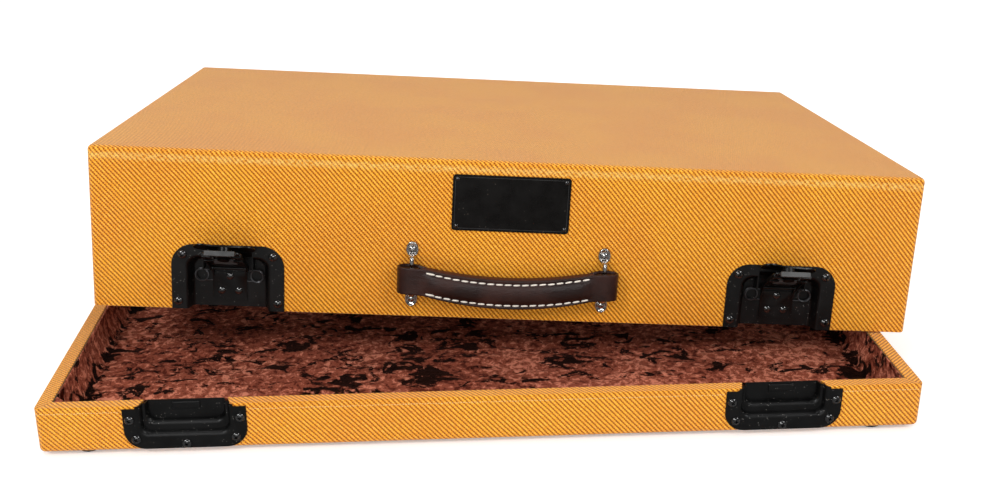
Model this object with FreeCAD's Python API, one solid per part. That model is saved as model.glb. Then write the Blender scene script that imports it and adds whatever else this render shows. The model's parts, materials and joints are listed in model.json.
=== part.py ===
import FreeCAD, Part
import math
import os

# Two-piece covered carrying case for effect pedals: a shallow lined tray on rubber feet
# and a deep lift-off lid. The lid is set down askew on the tray, with its latches open.
# All lengths are millimetres. X runs along the case, Y from the front to the back, Z up.
# The origin is on the floor, under the middle of the space that tray and lid take up together.

Vec = FreeCAD.Vector
os.makedirs("parts", exist_ok=True)

# Case shells
case_width = 813.0
case_depth = 546.0
tray_height = 45.5
lid_height = 161.0
board_thickness = 12.0
panel_thickness = 6.0
covering_thickness = 1.0
lining_thickness = 2.0
lining_setback = 1.5
shell_edge_chamfer = 2.5
board_edge_chamfer = 2.0
rim_chamfer = 1.2

# How the lid is set down: its shift and turn on the tray are free, its tilt follows from
# the two rims and the floor that it leans on.
lid_shift_right = 32.8
lid_shift_back = 121.7
lid_turn = -2.24
lid_rest_clearance = 0.2

# Rubber feet
foot_height = 4.0
foot_diameter = 22.0
foot_taper = 1.5
foot_inset_side = 41.0
foot_inset_front = 17.0
foot_screw_head_diameter = 8.0
foot_screw_head_height = 1.4
foot_recess_diameter = 9.0
foot_recess_depth = 2.2
foot_screw_length = 7.0
foot_sides = 12

# Latch dishes, each in two halves that meet at the parting line between tray and lid
latch_offset = 274.5
dish_width = 110.0
dish_sheet = 1.2
dish_bend_radius = 1.0
dish_parting_gap = 0.3
pan_depth = 13.0
pan_mouth_width = 79.0
pan_back_width = 72.0
cutout_clearance = 0.3
lid_dish_height = 67.0
lid_dish_corner_radius = 22.0
dish_corner_sides = 4
lid_pan_mouth_height = 54.0
lid_pan_back_height = 50.5
lid_pan_corner_radius = 11.0
tray_dish_drop = 43.6
tray_dish_top_drop = 2.6
tray_dish_corner_radius = 19.0
tray_pan_step_drop = 28.0
tray_pan_step_depth = 5.5
tray_pan_deep_drop = 18.6
tray_pan_nose = 1.4
tray_pan_corner_radius = 8.0

# Screws of the dishes
dish_screw_head_diameter = 9.0
dish_screw_head_height = 2.6
dish_screw_shank_diameter = 4.0
dish_screw_length = 10.5
screw_hole_clearance = 0.2
shank_sides = 6
head_sides = 6
head_ease_share = 0.6
lid_dish_screw_places = ((44.0, 56.5), (48.5, 8.5))
tray_dish_screw_places = ((49.0, 13.5), (44.5, 33.0))
tray_dish_middle_screw_drop = 38.4

# Latch base plate, riveted to the back of the lid's dish, with two ears for the pin
plate_sheet = 1.5
base_width = 33.4
base_low = 7.5
base_high = 36.5
base_top_rivet_height = 32.0
base_low_rivet_height = 17.0
base_low_rivet_spacing = 16.6
rivet_diameter = 4.0
rivet_head_diameter = 8.0
rivet_head_height = 1.5
pivot_height = 41.0
pivot_depth = 7.5
pin_diameter = 3.0
pin_clearance = 0.1
ear_radius = 3.4
ear_foot = 30.0

# Sprung latch carrier, which swings up and out on the pin
carrier_width = 37.0
carrier_length = 50.0
carrier_inner_face = 1.1
carrier_flange_reach = 1.4
carrier_corner_radius = 6.0
latch_open_angle = 122.0
guide_tab_length = 4.0
guide_tab_reaches = (31.0, 45.0)
guide_tab_overlap = 1.5
slide_clearance = 0.3

# Hook plate, drawn along the carrier by the cam of the wing
hook_width = 22.0
hook_reach = 61.0
hook_tail_reach = 18.0
claw_width = 28.5
claw_length = 9.0
claw_depth = 4.8
wing_reach = 36.0
cam_diameter = 11.6
cam_sides = 16
cam_offset = 3.0
cam_slot_side_clearance = 0.4
cam_slot_end_clearance = 0.8

# Butterfly wing and its cam stud
wing_span = 59.0
wing_lobe_radius = 9.0
wing_waist = 11.0
wing_height = 9.8
wing_edge_sides = 6
wing_relief_clearance = 0.4
hub_diameter = 13.0
hub_sides = 12
stud_diameter = 5.0
stud_square = 3.5
stud_head_diameter = 10.0
stud_head_height = 1.4
stud_disc_diameter = 11.0
stud_disc_thickness = 1.2
wing_set_turns = {"left": 6.0, "right": 16.0}

# Wire springs beside the base plate
spring_wire = 1.6
spring_wire_sides = 5
spring_loop_radius = 6.2
spring_offset = 27.0
spring_height = 33.5
spring_pitch = 2.4
spring_turns = 1.5
spring_tail_depth = 10.1
spring_arm_gap = 0.3

# Keeper lip pressed out of the tray's dish
keeper_width = 25.0
keeper_height = 9.0
keeper_stand = 3.0
keeper_clearance = 0.3

# Carrying handle: a padded strap looped round two upright bars
handle_height = 44.6
bar_offset = 94.7
bar_diameter = 5.0
bar_sides = 6
bar_stand = 11.0
bar_straight = 30.0
bar_bend_radius = 6.0
eye_spacing = 51.2
eye_width = 12.4
eye_length = 16.0
eye_thickness = 2.6
bracket_screw_head_diameter = 7.0
bracket_screw_head_height = 1.6
bracket_screw_shank_diameter = 3.5
bracket_screw_length = 11.0
strap_width = 27.0
strap_thickness = 13.0
strap_back_stand = 8.0
strap_end_thickness = 16.0
strap_end_reach = 11.5
strap_leather = 3.0
strap_sag = 12.7
strap_edge_chamfer = 3.0
strap_loop_play = 2.6
strap_loop_clearance = 0.3

# Name plate, left bare here
plate_width = 115.0
plate_height = 56.0
plate_thickness = 1.2
plate_corner_radius = 3.0
plate_centre_height = 118.9
plate_screw_inset = 4.5
plate_screw_head_diameter = 4.4
plate_screw_head_height = 1.2
plate_screw_shank_diameter = 2.4
plate_screw_length = 9.0

# Slip hinges at the back: a pin on the tray's half enters the lid's half from the side
hinge_offset = 250.0
hinge_width = 60.0
hinge_leaf_height = 32.0
hinge_knuckle_radius = 4.0
hinge_pin_diameter = 5.0
hinge_pin_clearance = 0.2
hinge_end_clearance = 0.5
hinge_pin_setback = 2.0
hinge_screw_head_diameter = 7.0
hinge_screw_head_height = 1.8
hinge_screw_shank_diameter = 3.5
hinge_screw_length = 10.0
hinge_screw_spacing = 40.0
hinge_screw_drop = 20.0

overrun = 1.0
same_place = 0.01
settling_rounds = 12

# Worked out from the sizes above
rim_width = covering_thickness + board_thickness
rim_height = foot_height + tray_height
strap_body_reach = bar_offset - strap_end_reach
front = -case_depth / 2
back = case_depth / 2
side = case_width / 2
half_turn = 180.0
quarter_turn = 90.0
along_x = Vec(1, 0, 0)
along_y = Vec(0, 1, 0)
along_z = Vec(0, 0, 1)


# Small helpers

def box_between(x_low, x_high, y_low, y_high, z_low, z_high):
    corner = Vec(x_low, y_low, z_low)
    return Part.makeBox(x_high - x_low, y_high - y_low, z_high - z_low, corner)


def centred_box(width, depth, z_low, z_high):
    return box_between(-width / 2, width / 2, -depth / 2, depth / 2, z_low, z_high)


def moved(shape, x=0, y=0, z=0):
    result = shape.copy()
    result.translate(Vec(x, y, z))
    return result


def turned(shape, centre, axis, angle):
    result = shape.copy()
    result.rotate(centre, axis, angle)
    return result


def joined(shapes):
    result = shapes[0]
    for shape in shapes[1:]:
        result = result.fuse(shape)
    return result.removeSplitter()


def cut_all(shape, tools):
    for tool in tools:
        shape = shape.cut(tool)
    return shape


def middle(edge):
    return edge.valueAt((edge.FirstParameter + edge.LastParameter) / 2)


def close(value, target):
    return abs(value - target) < same_place


def at_height(z):
    return lambda edge: close(middle(edge).z, z)


def softened(shape, radius, chosen):
    edges = [edge for edge in shape.Edges if chosen(edge)]
    return shape.makeFillet(radius, edges)


def eased(shape, size, chosen):
    edges = [edge for edge in shape.Edges if chosen(edge)]
    return shape.makeChamfer(size, edges)


def rod(diameter, start, direction, length):
    return Part.makeCylinder(diameter / 2, length, start, direction)


def outline_solid(edges, direction):
    """Extrude a closed flat outline of edges."""
    return Part.Face(Part.Wire(edges)).extrude(direction)


def flat_arcs(edges, sides):
    """An outline's arcs drawn again, each with a few straight sides."""
    points = [point for edge in edges for point in edge.discretize(sides + 1)[:-1]]
    return polygon_edges(points + points[:1])


def polygon_edges(points):
    return [Part.LineSegment(a, b).toShape() for a, b in zip(points, points[1:])]


def arc_edge(start, through, end):
    return Part.Arc(start, through, end).toShape()


def put_on_front(shape, x, z):
    """Turn a solid that points up Z so that it points out of the front, and place it."""
    out = turned(shape, Vec(0, 0, 0), along_x, quarter_turn)
    return moved(out, x, front, z)


def ring_wire(centre, way, radius, sides):
    """A regular outline round a point, square to a direction."""
    aside = way.cross(along_z if abs(way.z) < math.cos(math.pi / 4) else along_x).normalize()
    other = way.cross(aside)
    turns = [2 * math.pi * step / sides for step in range(sides)]
    points = [centre + (aside * math.cos(turn) + other * math.sin(turn)) * radius for turn in turns]
    return Part.Wire(polygon_edges(points + points[:1]))


def flat_sided(diameter, z_low, z_high, sides):
    """A rod along Z with flat sides, measured across its corners."""
    outline = ring_wire(Vec(0, 0, z_low), along_z, diameter / 2, sides)
    return Part.Face(outline).extrude(Vec(0, 0, z_high - z_low))


def shank(diameter, z_low, z_high):
    """A threaded shank along Z, drawn with a few flat sides across its crests."""
    return flat_sided(diameter, z_low, z_high, shank_sides)


def across_corners(across_flats):
    return across_flats / math.cos(math.pi / head_sides)


def raised_head(diameter, height, seat):
    top = seat + height
    return eased(flat_sided(diameter, seat, top, head_sides), height * head_ease_share, at_height(top))


def raised_screw(head_diameter, head_height, shank_diameter, length, seat=0):
    """A raised-head screw along Z, with its head standing on the plane z = seat."""
    head = raised_head(head_diameter, head_height, seat)
    return joined([head, shank(shank_diameter, seat - length, seat)])


# Case shells. Each half is built as an open tray with its rim up.

def below(z):
    """Tells a box's upright and bottom edges from the ones round its top."""
    return lambda edge: not close(middle(edge).z, z)


def half_shell(height):
    """The boards, covering and lining of one half, closed at z = 0 and open at z = height."""
    inset = covering_thickness
    board_top = height - inset
    floor_top = inset + panel_thickness
    inner_width = case_width - 2 * rim_width
    inner_depth = case_depth - 2 * rim_width
    core = centred_box(case_width - 2 * inset, case_depth - 2 * inset, inset, board_top)
    core = eased(core, board_edge_chamfer, below(board_top))
    outer = eased(centred_box(case_width, case_depth, 0, height), shell_edge_chamfer, below(height))
    outer = eased(outer, rim_chamfer, at_height(height))
    opening = centred_box(inner_width, inner_depth, floor_top, height + overrun)
    lining_outer = centred_box(inner_width, inner_depth, floor_top, height - lining_setback)
    lining_inner = centred_box(
        inner_width - 2 * lining_thickness, inner_depth - 2 * lining_thickness,
        floor_top + lining_thickness, height)
    inner_side = inner_width / 2
    inner_end = inner_depth / 2
    return {
        "panel": core.common(centred_box(case_width, case_depth, inset, floor_top)),
        "front_wall": core.common(box_between(-side, side, front, -inner_end, floor_top, board_top)),
        "rear_wall": core.common(box_between(-side, side, inner_end, back, floor_top, board_top)),
        "left_wall": core.common(
            box_between(-side, -inner_side, -inner_end, inner_end, floor_top, board_top)),
        "right_wall": core.common(
            box_between(inner_side, side, -inner_end, inner_end, floor_top, board_top)),
        "covering": outer.cut(core).cut(opening),
        "lining": lining_outer.cut(lining_inner),
    }


def flipped(shape):
    """Turn a half over lengthwise, so that its rim is down at z = 0."""
    return turned(shape, Vec(0, 0, 0), along_x, half_turn)


def lid_shell():
    shell = half_shell(lid_height)
    pieces = {name: moved(flipped(shape), 0, 0, lid_height) for name, shape in shell.items()}
    pieces["front_wall"], pieces["rear_wall"] = pieces["rear_wall"], pieces["front_wall"]
    return pieces


# Latch dishes, in a frame with x = 0 at the latch, y = 0 on the case's front, z = 0 on the
# parting line. A way of +1 goes up into the lid, a way of -1 down into the tray.

def arch_wire(half_width, start, reach, radius, y, way):
    """An arch: open end straight across at z = way * start, rounded corners at the far end, each
    drawn with a few straight sides."""
    middle_x = half_width - radius
    turns = [math.pi / 2 * step / dish_corner_sides for step in range(dish_corner_sides + 1)]
    corner = [Vec(middle_x + radius * math.cos(turn), y, way * (reach - radius + radius * math.sin(turn)))
              for turn in turns]
    mirrored = [Vec(-point.x, y, point.z) for point in reversed(corner)]
    foot_points = [Vec(-half_width, y, way * start), Vec(half_width, y, way * start)]
    return Part.Wire(polygon_edges(corner + mirrored + foot_points + corner[:1]))


def pan_half_width(y):
    """The pans' sides draw in steadily from the flange to the full depth."""
    share = (y + dish_sheet) / pan_depth
    return (pan_mouth_width + (pan_back_width - pan_mouth_width) * share) / 2


def recess(y_near, y_far, near_reach, far_reach, radius, start, grow, way):
    """The hollow of one recess, or with grow the outside of the sheet round it."""
    corner = radius + grow
    near = arch_wire(pan_half_width(y_near) + grow, start, near_reach + grow, corner, y_near, way)
    far = arch_wire(pan_half_width(y_far) + grow, start, far_reach + grow, corner, y_far + grow, way)
    return Part.makeLoft([near, far], True, True)


def flange(start, reach, radius, way):
    outline = arch_wire(dish_width / 2, start, reach, radius, -dish_sheet, way)
    return Part.Face(outline).extrude(Vec(0, dish_sheet, 0))


def wing_relief_level(y, rise):
    """Height at the depth y of a plane that lies over the raised latch's wing, rise above the pin."""
    turn = math.radians(latch_open_angle)
    reach = (pivot_depth - rise * math.cos(turn) - y) / math.sin(turn)
    return pivot_height - reach * math.cos(turn) + rise * math.sin(turn)


def wing_relief_rise():
    return wing_height + plate_sheet + wing_relief_clearance


def wing_relief_half_width():
    """Half the chord that the turning wing sweeps where it passes the dish's flange."""
    turn = math.radians(latch_open_angle)
    reach = (pivot_depth - wing_relief_rise() * math.cos(turn) + dish_sheet) / math.sin(turn)
    return math.sqrt((wing_span / 2) ** 2 - (wing_reach - reach) ** 2) + wing_relief_clearance


def wing_relief(y_near, y_far, y_back, grow):
    """The ramp over the pan's middle that lets the raised latch's wing turn, or with grow its sheet."""
    half = wing_relief_half_width() + grow
    rise = wing_relief_rise() + grow
    points = [Vec(-half, y_near, wing_relief_level(y_near, rise)),
              Vec(-half, y_back, wing_relief_level(y_far, rise)),
              Vec(-half, y_back, pivot_height), Vec(-half, y_near, pivot_height)]
    return outline_solid(polygon_edges(points + points[:1]), Vec(2 * half, 0, 0))


def relief_cutter():
    """The hole for the wing's ramp in the lid's front wall and its covering."""
    half = wing_relief_half_width() + dish_sheet + cutout_clearance
    top = wing_relief_level(0, wing_relief_rise() + dish_sheet) + cutout_clearance
    return box_between(-half, half, -overrun, rim_width, pivot_height, top)


def mouth_flare(reach, far_reach, radius, start, way):
    """The eased edge where a pan's sheet turns into its flange."""
    bend = dish_bend_radius
    y = bend - dish_sheet
    reach_there = reach + (far_reach - reach) * bend / pan_depth
    near = arch_wire(pan_half_width(-dish_sheet) + bend, start, reach + bend, radius + bend,
                     -dish_sheet, way)
    far = arch_wire(pan_half_width(y), start, reach_there, radius, y, way)
    return Part.makeLoft([near, far], True, True)


def lid_dish():
    """The arched half in the lid: one deep pan, open at the lid's rim, with a ramp for the wing."""
    start = dish_parting_gap
    back_face = pan_depth - dish_sheet
    hollow = recess(-dish_sheet, back_face, lid_pan_mouth_height, lid_pan_back_height,
                    lid_pan_corner_radius, start - overrun, 0, 1)
    sheet = recess(-dish_sheet, back_face, lid_pan_mouth_height, lid_pan_back_height,
                   lid_pan_corner_radius, start, dish_sheet, 1)
    flare = mouth_flare(lid_pan_mouth_height, lid_pan_back_height, lid_pan_corner_radius, start - overrun, 1)
    plate = flange(start, lid_dish_height, lid_dish_corner_radius, 1)
    ramp_sheet = wing_relief(-dish_sheet, back_face, pan_depth, dish_sheet)
    ramp = wing_relief(-dish_sheet - overrun, back_face, back_face, 0)
    dish = cut_all(joined([plate, sheet, ramp_sheet]), [hollow, flare, ramp])
    rivets = [bore_at(rivet_diameter, x, z, -overrun, pan_depth + overrun) for x, z in base_rivet_places()]
    return cut_all(dish, rivets + [screw_hole(x, z) for x, z in lid_dish_screws()])


def tray_dish():
    """The half in the tray: a stepped pan that runs up through the rim, with the keeper lip."""
    start = dish_parting_gap
    step_face = tray_pan_step_depth - dish_sheet
    back_face = pan_depth - dish_sheet
    nose = step_face + tray_pan_nose
    levels = ((-dish_sheet, step_face, tray_pan_step_drop, tray_pan_step_drop - dish_sheet),
              (step_face, nose, tray_pan_deep_drop + tray_pan_nose, tray_pan_deep_drop),
              (-dish_sheet, back_face, tray_pan_deep_drop, tray_pan_deep_drop - dish_sheet))
    hollows = [recess(near, far, near_drop, far_drop, tray_pan_corner_radius, start - overrun, 0, -1)
               for near, far, near_drop, far_drop in levels]
    sheets = [recess(near, far, near_drop, far_drop, tray_pan_corner_radius, start, dish_sheet, -1)
              for near, far, near_drop, far_drop in levels]
    flare = mouth_flare(tray_pan_step_drop, tray_pan_step_drop, tray_pan_corner_radius, start - overrun, -1)
    plate = flange(tray_dish_top_drop, tray_dish_drop, tray_dish_corner_radius, -1)
    dish = cut_all(joined([plate] + sheets), hollows + [flare]).fuse(keeper_lip())
    return cut_all(dish, [screw_hole(x, z) for x, z in tray_dish_screws()])


def keeper_lip():
    """A pressed hood on the back of the tray's pan; the claw draws up against its lower edge."""
    face = pan_depth - dish_sheet
    low = pivot_height - hook_reach + 2 * cam_offset + plate_sheet + keeper_clearance
    high = low + keeper_height
    peak = face - keeper_stand
    profile = polygon_edges([Vec(0, face, high), Vec(0, peak, low + plate_sheet), Vec(0, peak, low),
                             Vec(0, face, low), Vec(0, face, high)])
    hood = outline_solid(profile, Vec(keeper_width, 0, 0))
    return moved(hood, -keeper_width / 2)


def bore_at(diameter, x, z, y_low, y_high):
    """A hole along Y that a shank of that diameter fills."""
    out = turned(shank(diameter, -y_high, -y_low), Vec(0, 0, 0), along_x, quarter_turn)
    return moved(out, x, 0, z)


def screw_hole(x, z):
    return bore_at(dish_screw_shank_diameter + screw_hole_clearance, x, z, -dish_sheet - overrun, overrun)


def mirrored_places(places):
    return [(way * x, z) for x, z in places for way in (-1, 1)]


def lid_dish_screws():
    return mirrored_places(lid_dish_screw_places)


def tray_dish_screws():
    places = [(x, -drop) for x, drop in mirrored_places(tray_dish_screw_places)]
    return places + [(0, -tray_dish_middle_screw_drop)]


def dish_cutter(reach, way):
    """The hole for a pan in a front wall and its covering."""
    half = pan_mouth_width / 2 + dish_sheet + cutout_clearance
    ends = sorted((-way * overrun, way * (reach + dish_sheet + cutout_clearance)))
    return box_between(-half, half, -overrun, rim_width, ends[0], ends[1])


def dish_screw():
    return raised_screw(dish_screw_head_diameter, dish_screw_head_height, dish_screw_shank_diameter,
                      dish_screw_length, dish_sheet)


# Latch mechanism, in the same frame as the dishes and built in its closed position

def base_rivet_places():
    low = base_low_rivet_spacing / 2
    return [(0, base_top_rivet_height), (-low, base_low_rivet_height), (low, base_low_rivet_height)]


def base_plate():
    """The plate on the back of the pan, with an ear folded out at each side for the pin."""
    rear = pan_depth - dish_sheet
    face = rear - plate_sheet
    half = base_width / 2
    plate = box_between(-half, half, face, rear, base_low, base_high)
    holes = [bore_at(rivet_diameter, x, z, face - overrun, rear + overrun) for x, z in base_rivet_places()]
    plate = cut_all(plate, holes)
    top = Vec(0, pivot_depth, pivot_height)
    rim_low = top + Vec(0, -ear_radius, 0)
    rim_high = top + Vec(0, ear_radius, 0)
    outline = [arc_edge(rim_low, top + Vec(0, 0, ear_radius), rim_high)]
    outline += polygon_edges([rim_high, Vec(0, rear, base_high), Vec(0, rear, ear_foot),
                              Vec(0, face, ear_foot), rim_low])
    ear = outline_solid(outline, Vec(plate_sheet, 0, 0))
    ears = [moved(ear, -half), moved(ear, half - plate_sheet)]
    reach = half + overrun
    bore = flat_sided(across_corners(pin_diameter + pin_clearance), -reach, reach, head_sides)
    bore = moved(turned(bore, Vec(0, 0, 0), along_y, quarter_turn), 0, pivot_depth, pivot_height)
    return joined([plate] + ears).cut(bore)


def base_rivet(x, z):
    """A raised-head rivet through base plate and pan, flush at the back."""
    face = pan_depth - dish_sheet - plate_sheet
    rivet = raised_screw(rivet_head_diameter, rivet_head_height, rivet_diameter, pan_depth - face)
    return moved(turned(rivet, Vec(0, 0, 0), along_x, quarter_turn), x, face, z)


def latch_pin():
    length = carrier_width + 2 * spring_arm_gap
    return rod(pin_diameter, Vec(-length / 2, pivot_depth, pivot_height), along_x, length)


def reach_box(x_low, x_high, face_low, face_high, reach_low, reach_high):
    """A box on the closed latch: faces are heights over the pin, reaches run down from it."""
    return box_between(x_low, x_high, pivot_depth - face_high, pivot_depth - face_low,
                       pivot_height - reach_high, pivot_height - reach_low)


def carrier():
    """A sheet channel: its plate carries the wing, its side flanges ride the pin."""
    half = carrier_width / 2
    outer_face = carrier_inner_face + plate_sheet
    plate = reach_box(-half, half, carrier_inner_face, outer_face, ear_radius + plate_sheet, carrier_length)
    plate = softened(plate, carrier_corner_radius,
                     lambda edge: close(middle(edge).z, pivot_height - carrier_length)
                     and close(abs(middle(edge).x), half))
    centre = Vec(0, pivot_depth, pivot_height)
    end = carrier_length - carrier_corner_radius
    top_out = centre + Vec(0, -outer_face, 0)
    cheek = centre + Vec(0, carrier_flange_reach + plate_sheet, 0)
    peak = centre + Vec(0, (carrier_flange_reach + plate_sheet - outer_face) / 2, ear_radius)
    outline = [arc_edge(top_out, peak, cheek)]
    outline += polygon_edges([cheek, centre + Vec(0, carrier_flange_reach, -2 * ear_radius),
                              centre + Vec(0, carrier_flange_reach, -end),
                              centre + Vec(0, -outer_face, -end), top_out])
    flange_solid = outline_solid(outline, Vec(plate_sheet, 0, 0))
    pieces = [plate, moved(flange_solid, -half), moved(flange_solid, half - plate_sheet)]
    tab_top = -plate_sheet / 2 - slide_clearance
    for reach in guide_tab_reaches:
        for way in (-1, 1):
            ends = sorted((way * (half - plate_sheet), way * (hook_width / 2 - guide_tab_overlap)))
            wall = sorted((way * (half - plate_sheet), way * half))
            tab_end = reach + guide_tab_length
            tab_low = tab_top - plate_sheet
            pieces.append(reach_box(ends[0], ends[1], tab_low, tab_top, reach, tab_end))
            pieces.append(reach_box(wall[0], wall[1], tab_low, carrier_inner_face, reach, tab_end))
    bore = rod(pin_diameter + pin_clearance, centre - Vec(half + overrun, 0, 0), along_x,
               carrier_width + 2 * overrun)
    stud_hole = rod(stud_diameter + 2 * pin_clearance,
                    Vec(0, pivot_depth - outer_face - overrun, pivot_height - wing_reach), along_y,
                    plate_sheet + 2 * overrun)
    return joined(pieces).cut(bore).cut(stud_hole)


def hook_plate():
    """The sliding plate: a yoke slot for the cam and a claw folded in at its end."""
    low = -plate_sheet / 2
    high = plate_sheet / 2
    blade = reach_box(-hook_width / 2, hook_width / 2, low, high, hook_tail_reach, hook_reach)
    head = reach_box(-claw_width / 2, claw_width / 2, low, high, hook_reach - claw_length, hook_reach)
    claw = reach_box(-claw_width / 2, claw_width / 2, low + plate_sheet - claw_depth, high,
                     hook_reach - plate_sheet, hook_reach)
    slot_half = cam_diameter / 2 + cam_offset + cam_slot_side_clearance
    slot_reach = cam_diameter / 2 + cam_slot_end_clearance
    cam_reach = wing_reach + cam_offset
    slot = reach_box(-slot_half, slot_half, low - overrun, high + overrun,
                     cam_reach - slot_reach, cam_reach + slot_reach)
    return joined([blade, head, claw]).cut(slot)


def wing():
    """The butterfly: a raised two-lobed plate on a hub, with a square hole for the stud."""
    lobe = wing_span / 2 - wing_lobe_radius
    tip = wing_span / 2
    waist = wing_waist / 2
    top_left = Vec(-lobe, wing_lobe_radius, wing_height)
    low_left = Vec(-lobe, -wing_lobe_radius, wing_height)
    top_right = Vec(lobe, wing_lobe_radius, wing_height)
    low_right = Vec(lobe, -wing_lobe_radius, wing_height)
    outline = [
        arc_edge(top_left, Vec(-tip, 0, wing_height), low_left),
        arc_edge(low_left, Vec(0, -waist, wing_height), low_right),
        arc_edge(low_right, Vec(tip, 0, wing_height), top_right),
        arc_edge(top_right, Vec(0, waist, wing_height), top_left),
    ]
    blade = outline_solid(flat_arcs(outline, wing_edge_sides), Vec(0, 0, plate_sheet))
    foot = carrier_inner_face + plate_sheet + slide_clearance
    hub = flat_sided(hub_diameter, foot, wing_height, hub_sides)
    hole = centred_box(stud_square, stud_square, foot - overrun, wing_height + plate_sheet + overrun)
    return joined([blade, hub]).cut(hole)


def cam_stud():
    """The wing's stud: head outside, square in the wing, round in the carrier, then the cam and
    the disc that keeps the hook plate on it."""
    top = wing_height + plate_sheet
    shoulder = carrier_inner_face + plate_sheet + slide_clearance
    low = -plate_sheet / 2
    disc_top = low - slide_clearance
    head = raised_head(stud_head_diameter, stud_head_height, top)
    square = centred_box(stud_square, stud_square, shoulder, top)
    journal = rod(stud_diameter, Vec(0, 0, disc_top), along_z, shoulder - disc_top)
    cam = moved(flat_sided(cam_diameter, low, low + plate_sheet, cam_sides), 0, -cam_offset)
    disc = flat_sided(stud_disc_diameter, disc_top - stud_disc_thickness, disc_top, hub_sides)
    return joined([head, square, journal, cam, disc])


def on_latch(shape, set_turn):
    """Turn a wing piece by its set turn and stand it on the closed carrier."""
    placed = turned(shape, Vec(0, 0, 0), along_z, set_turn)
    placed = turned(placed, Vec(0, 0, 0), along_x, quarter_turn)
    return moved(placed, 0, pivot_depth, pivot_height - wing_reach)


def opened(shape):
    """Swing a closed latch piece up to where its springs hold it."""
    return turned(shape, Vec(0, pivot_depth, pivot_height), along_x, -latch_open_angle)


# Springs

def biarc(start, start_way, end, end_way):
    """Two arcs that join two points along two given directions, as edges."""
    chord = end - start
    ways = start_way + end_way
    a = 2 * (1 - start_way.dot(end_way))
    b = 2 * chord.dot(ways)
    reach = (-b + math.sqrt(b * b + 4 * a * chord.dot(chord))) / (2 * a)
    join = (start + start_way * reach + end - end_way * reach) * 0.5
    edges = []
    for point, way, other in ((start, start_way, join), (join, None, end)):
        if way is None:
            way = (end - end_way * reach - join).normalize()
        edges.append(arc_from(point, way, other))
    return edges


def arc_from(start, way, end):
    """The arc from start to end that leaves start along a direction."""
    chord = end - start
    side_way = (chord - way * chord.dot(way)).normalize()
    radius = chord.dot(chord) / (2 * chord.dot(side_way))
    centre = start + side_way * radius
    angle = 2 * math.atan2(chord.dot(side_way), chord.dot(way))
    halfway = centre + (way * math.sin(angle / 2) - side_way * math.cos(angle / 2)) * radius
    return arc_edge(start, halfway, end)


def spring_point(angle, way):
    """A point and direction on the wire loop; the angle runs from the top, outwards and down."""
    pitch = spring_pitch / (2 * math.pi)
    depth = spring_tail_depth - pitch * (2 * math.pi * spring_turns - angle)
    place = Vec(way * (spring_offset + spring_loop_radius * math.sin(angle)), depth,
                spring_height + spring_loop_radius * math.cos(angle))
    across = way * spring_loop_radius * math.cos(angle)
    heading = Vec(across, pitch, -spring_loop_radius * math.sin(angle))
    return place, heading.normalize()


def wire_spring(way):
    """One unbroken wire: arm from the carrier, a turn and a half, tail to the base plate."""
    steps = int(4 * spring_turns)
    stops = [spring_point(step * math.pi / 2, way) for step in range(steps + 1)]
    arm_length = spring_offset - carrier_width / 2 - 2 * spring_arm_gap
    tail_length = spring_offset - base_width / 2 - spring_arm_gap
    first, first_way = stops[0]
    last, last_way = stops[-1]
    edges = polygon_edges([first - first_way * arm_length, first])
    for (start, start_way), (end, end_way) in zip(stops, stops[1:]):
        edges += biarc(start, start_way, end, end_way)
    edges += polygon_edges([last, last + last_way * tail_length])
    path = Part.Wire(edges)
    arm_end = first - first_way * arm_length
    ring = ring_wire(arm_end, first_way, spring_wire / 2, spring_wire_sides)
    return path.makePipeShell([ring], True, False)


def spring_self_gap():
    """Least gap of the wire to its own next turn, measured on points along the loop."""
    count = 72
    angles = [2 * math.pi * spring_turns * step / count for step in range(count + 1)]
    points = [spring_point(angle, 1)[0] for angle in angles]
    apart = [points[i].distanceToPoint(points[j]) for i in range(count + 1) for j in range(i)
             if angles[i] - angles[j] > math.pi]
    return min(apart) - spring_wire


# Carrying handle, in a frame with x = 0 at the case's middle and y = 0 on the lid's front

def handle_bracket():
    """A chromed bar that stands off the case between two flat eyes."""
    half_bar = bar_straight / 2
    eye = eye_spacing / 2
    seat = -eye_thickness / 2
    outer = -bar_stand
    points = [Vec(0, seat, -eye), Vec(0, outer, -half_bar), Vec(0, outer, half_bar), Vec(0, seat, eye)]
    edges = rounded_path(points, bar_bend_radius)
    path = Part.Wire(edges)
    way = (points[1] - points[0]).normalize()
    bar = path.makePipeShell([ring_wire(points[0], way, bar_diameter / 2, bar_sides)], True, False)
    bar = bar.cut(box_between(-eye_width, eye_width, 0, bar_stand, -2 * eye, 2 * eye))
    pads = [moved(eye_pad(), 0, 0, way_z * eye) for way_z in (-1, 1)]
    hole = bracket_screw_shank_diameter + screw_hole_clearance
    holes = [bore_at(hole, 0, way_z * eye, -bar_stand, overrun) for way_z in (-1, 1)]
    room = bracket_screw_head_diameter / 2 + screw_hole_clearance
    flats = [box_between(-room, room, -bar_stand, -eye_thickness, way_z * eye - room, way_z * eye + room)
             for way_z in (-1, 1)]
    return cut_all(joined([bar] + pads), holes + flats)


def eye_pad():
    """An oval pad that lies on the case."""
    radius = eye_width / 2
    straight = (eye_length - eye_width) / 2
    corners = [Vec(radius, 0, -straight), Vec(radius, 0, straight), Vec(-radius, 0, straight),
               Vec(-radius, 0, -straight)]
    edges = polygon_edges(corners[:2])
    edges.append(arc_edge(corners[1], Vec(0, 0, straight + radius), corners[2]))
    edges += polygon_edges(corners[2:])
    edges.append(arc_edge(corners[3], Vec(0, 0, -straight - radius), corners[0]))
    return outline_solid(edges, Vec(0, -eye_thickness, 0))


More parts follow.
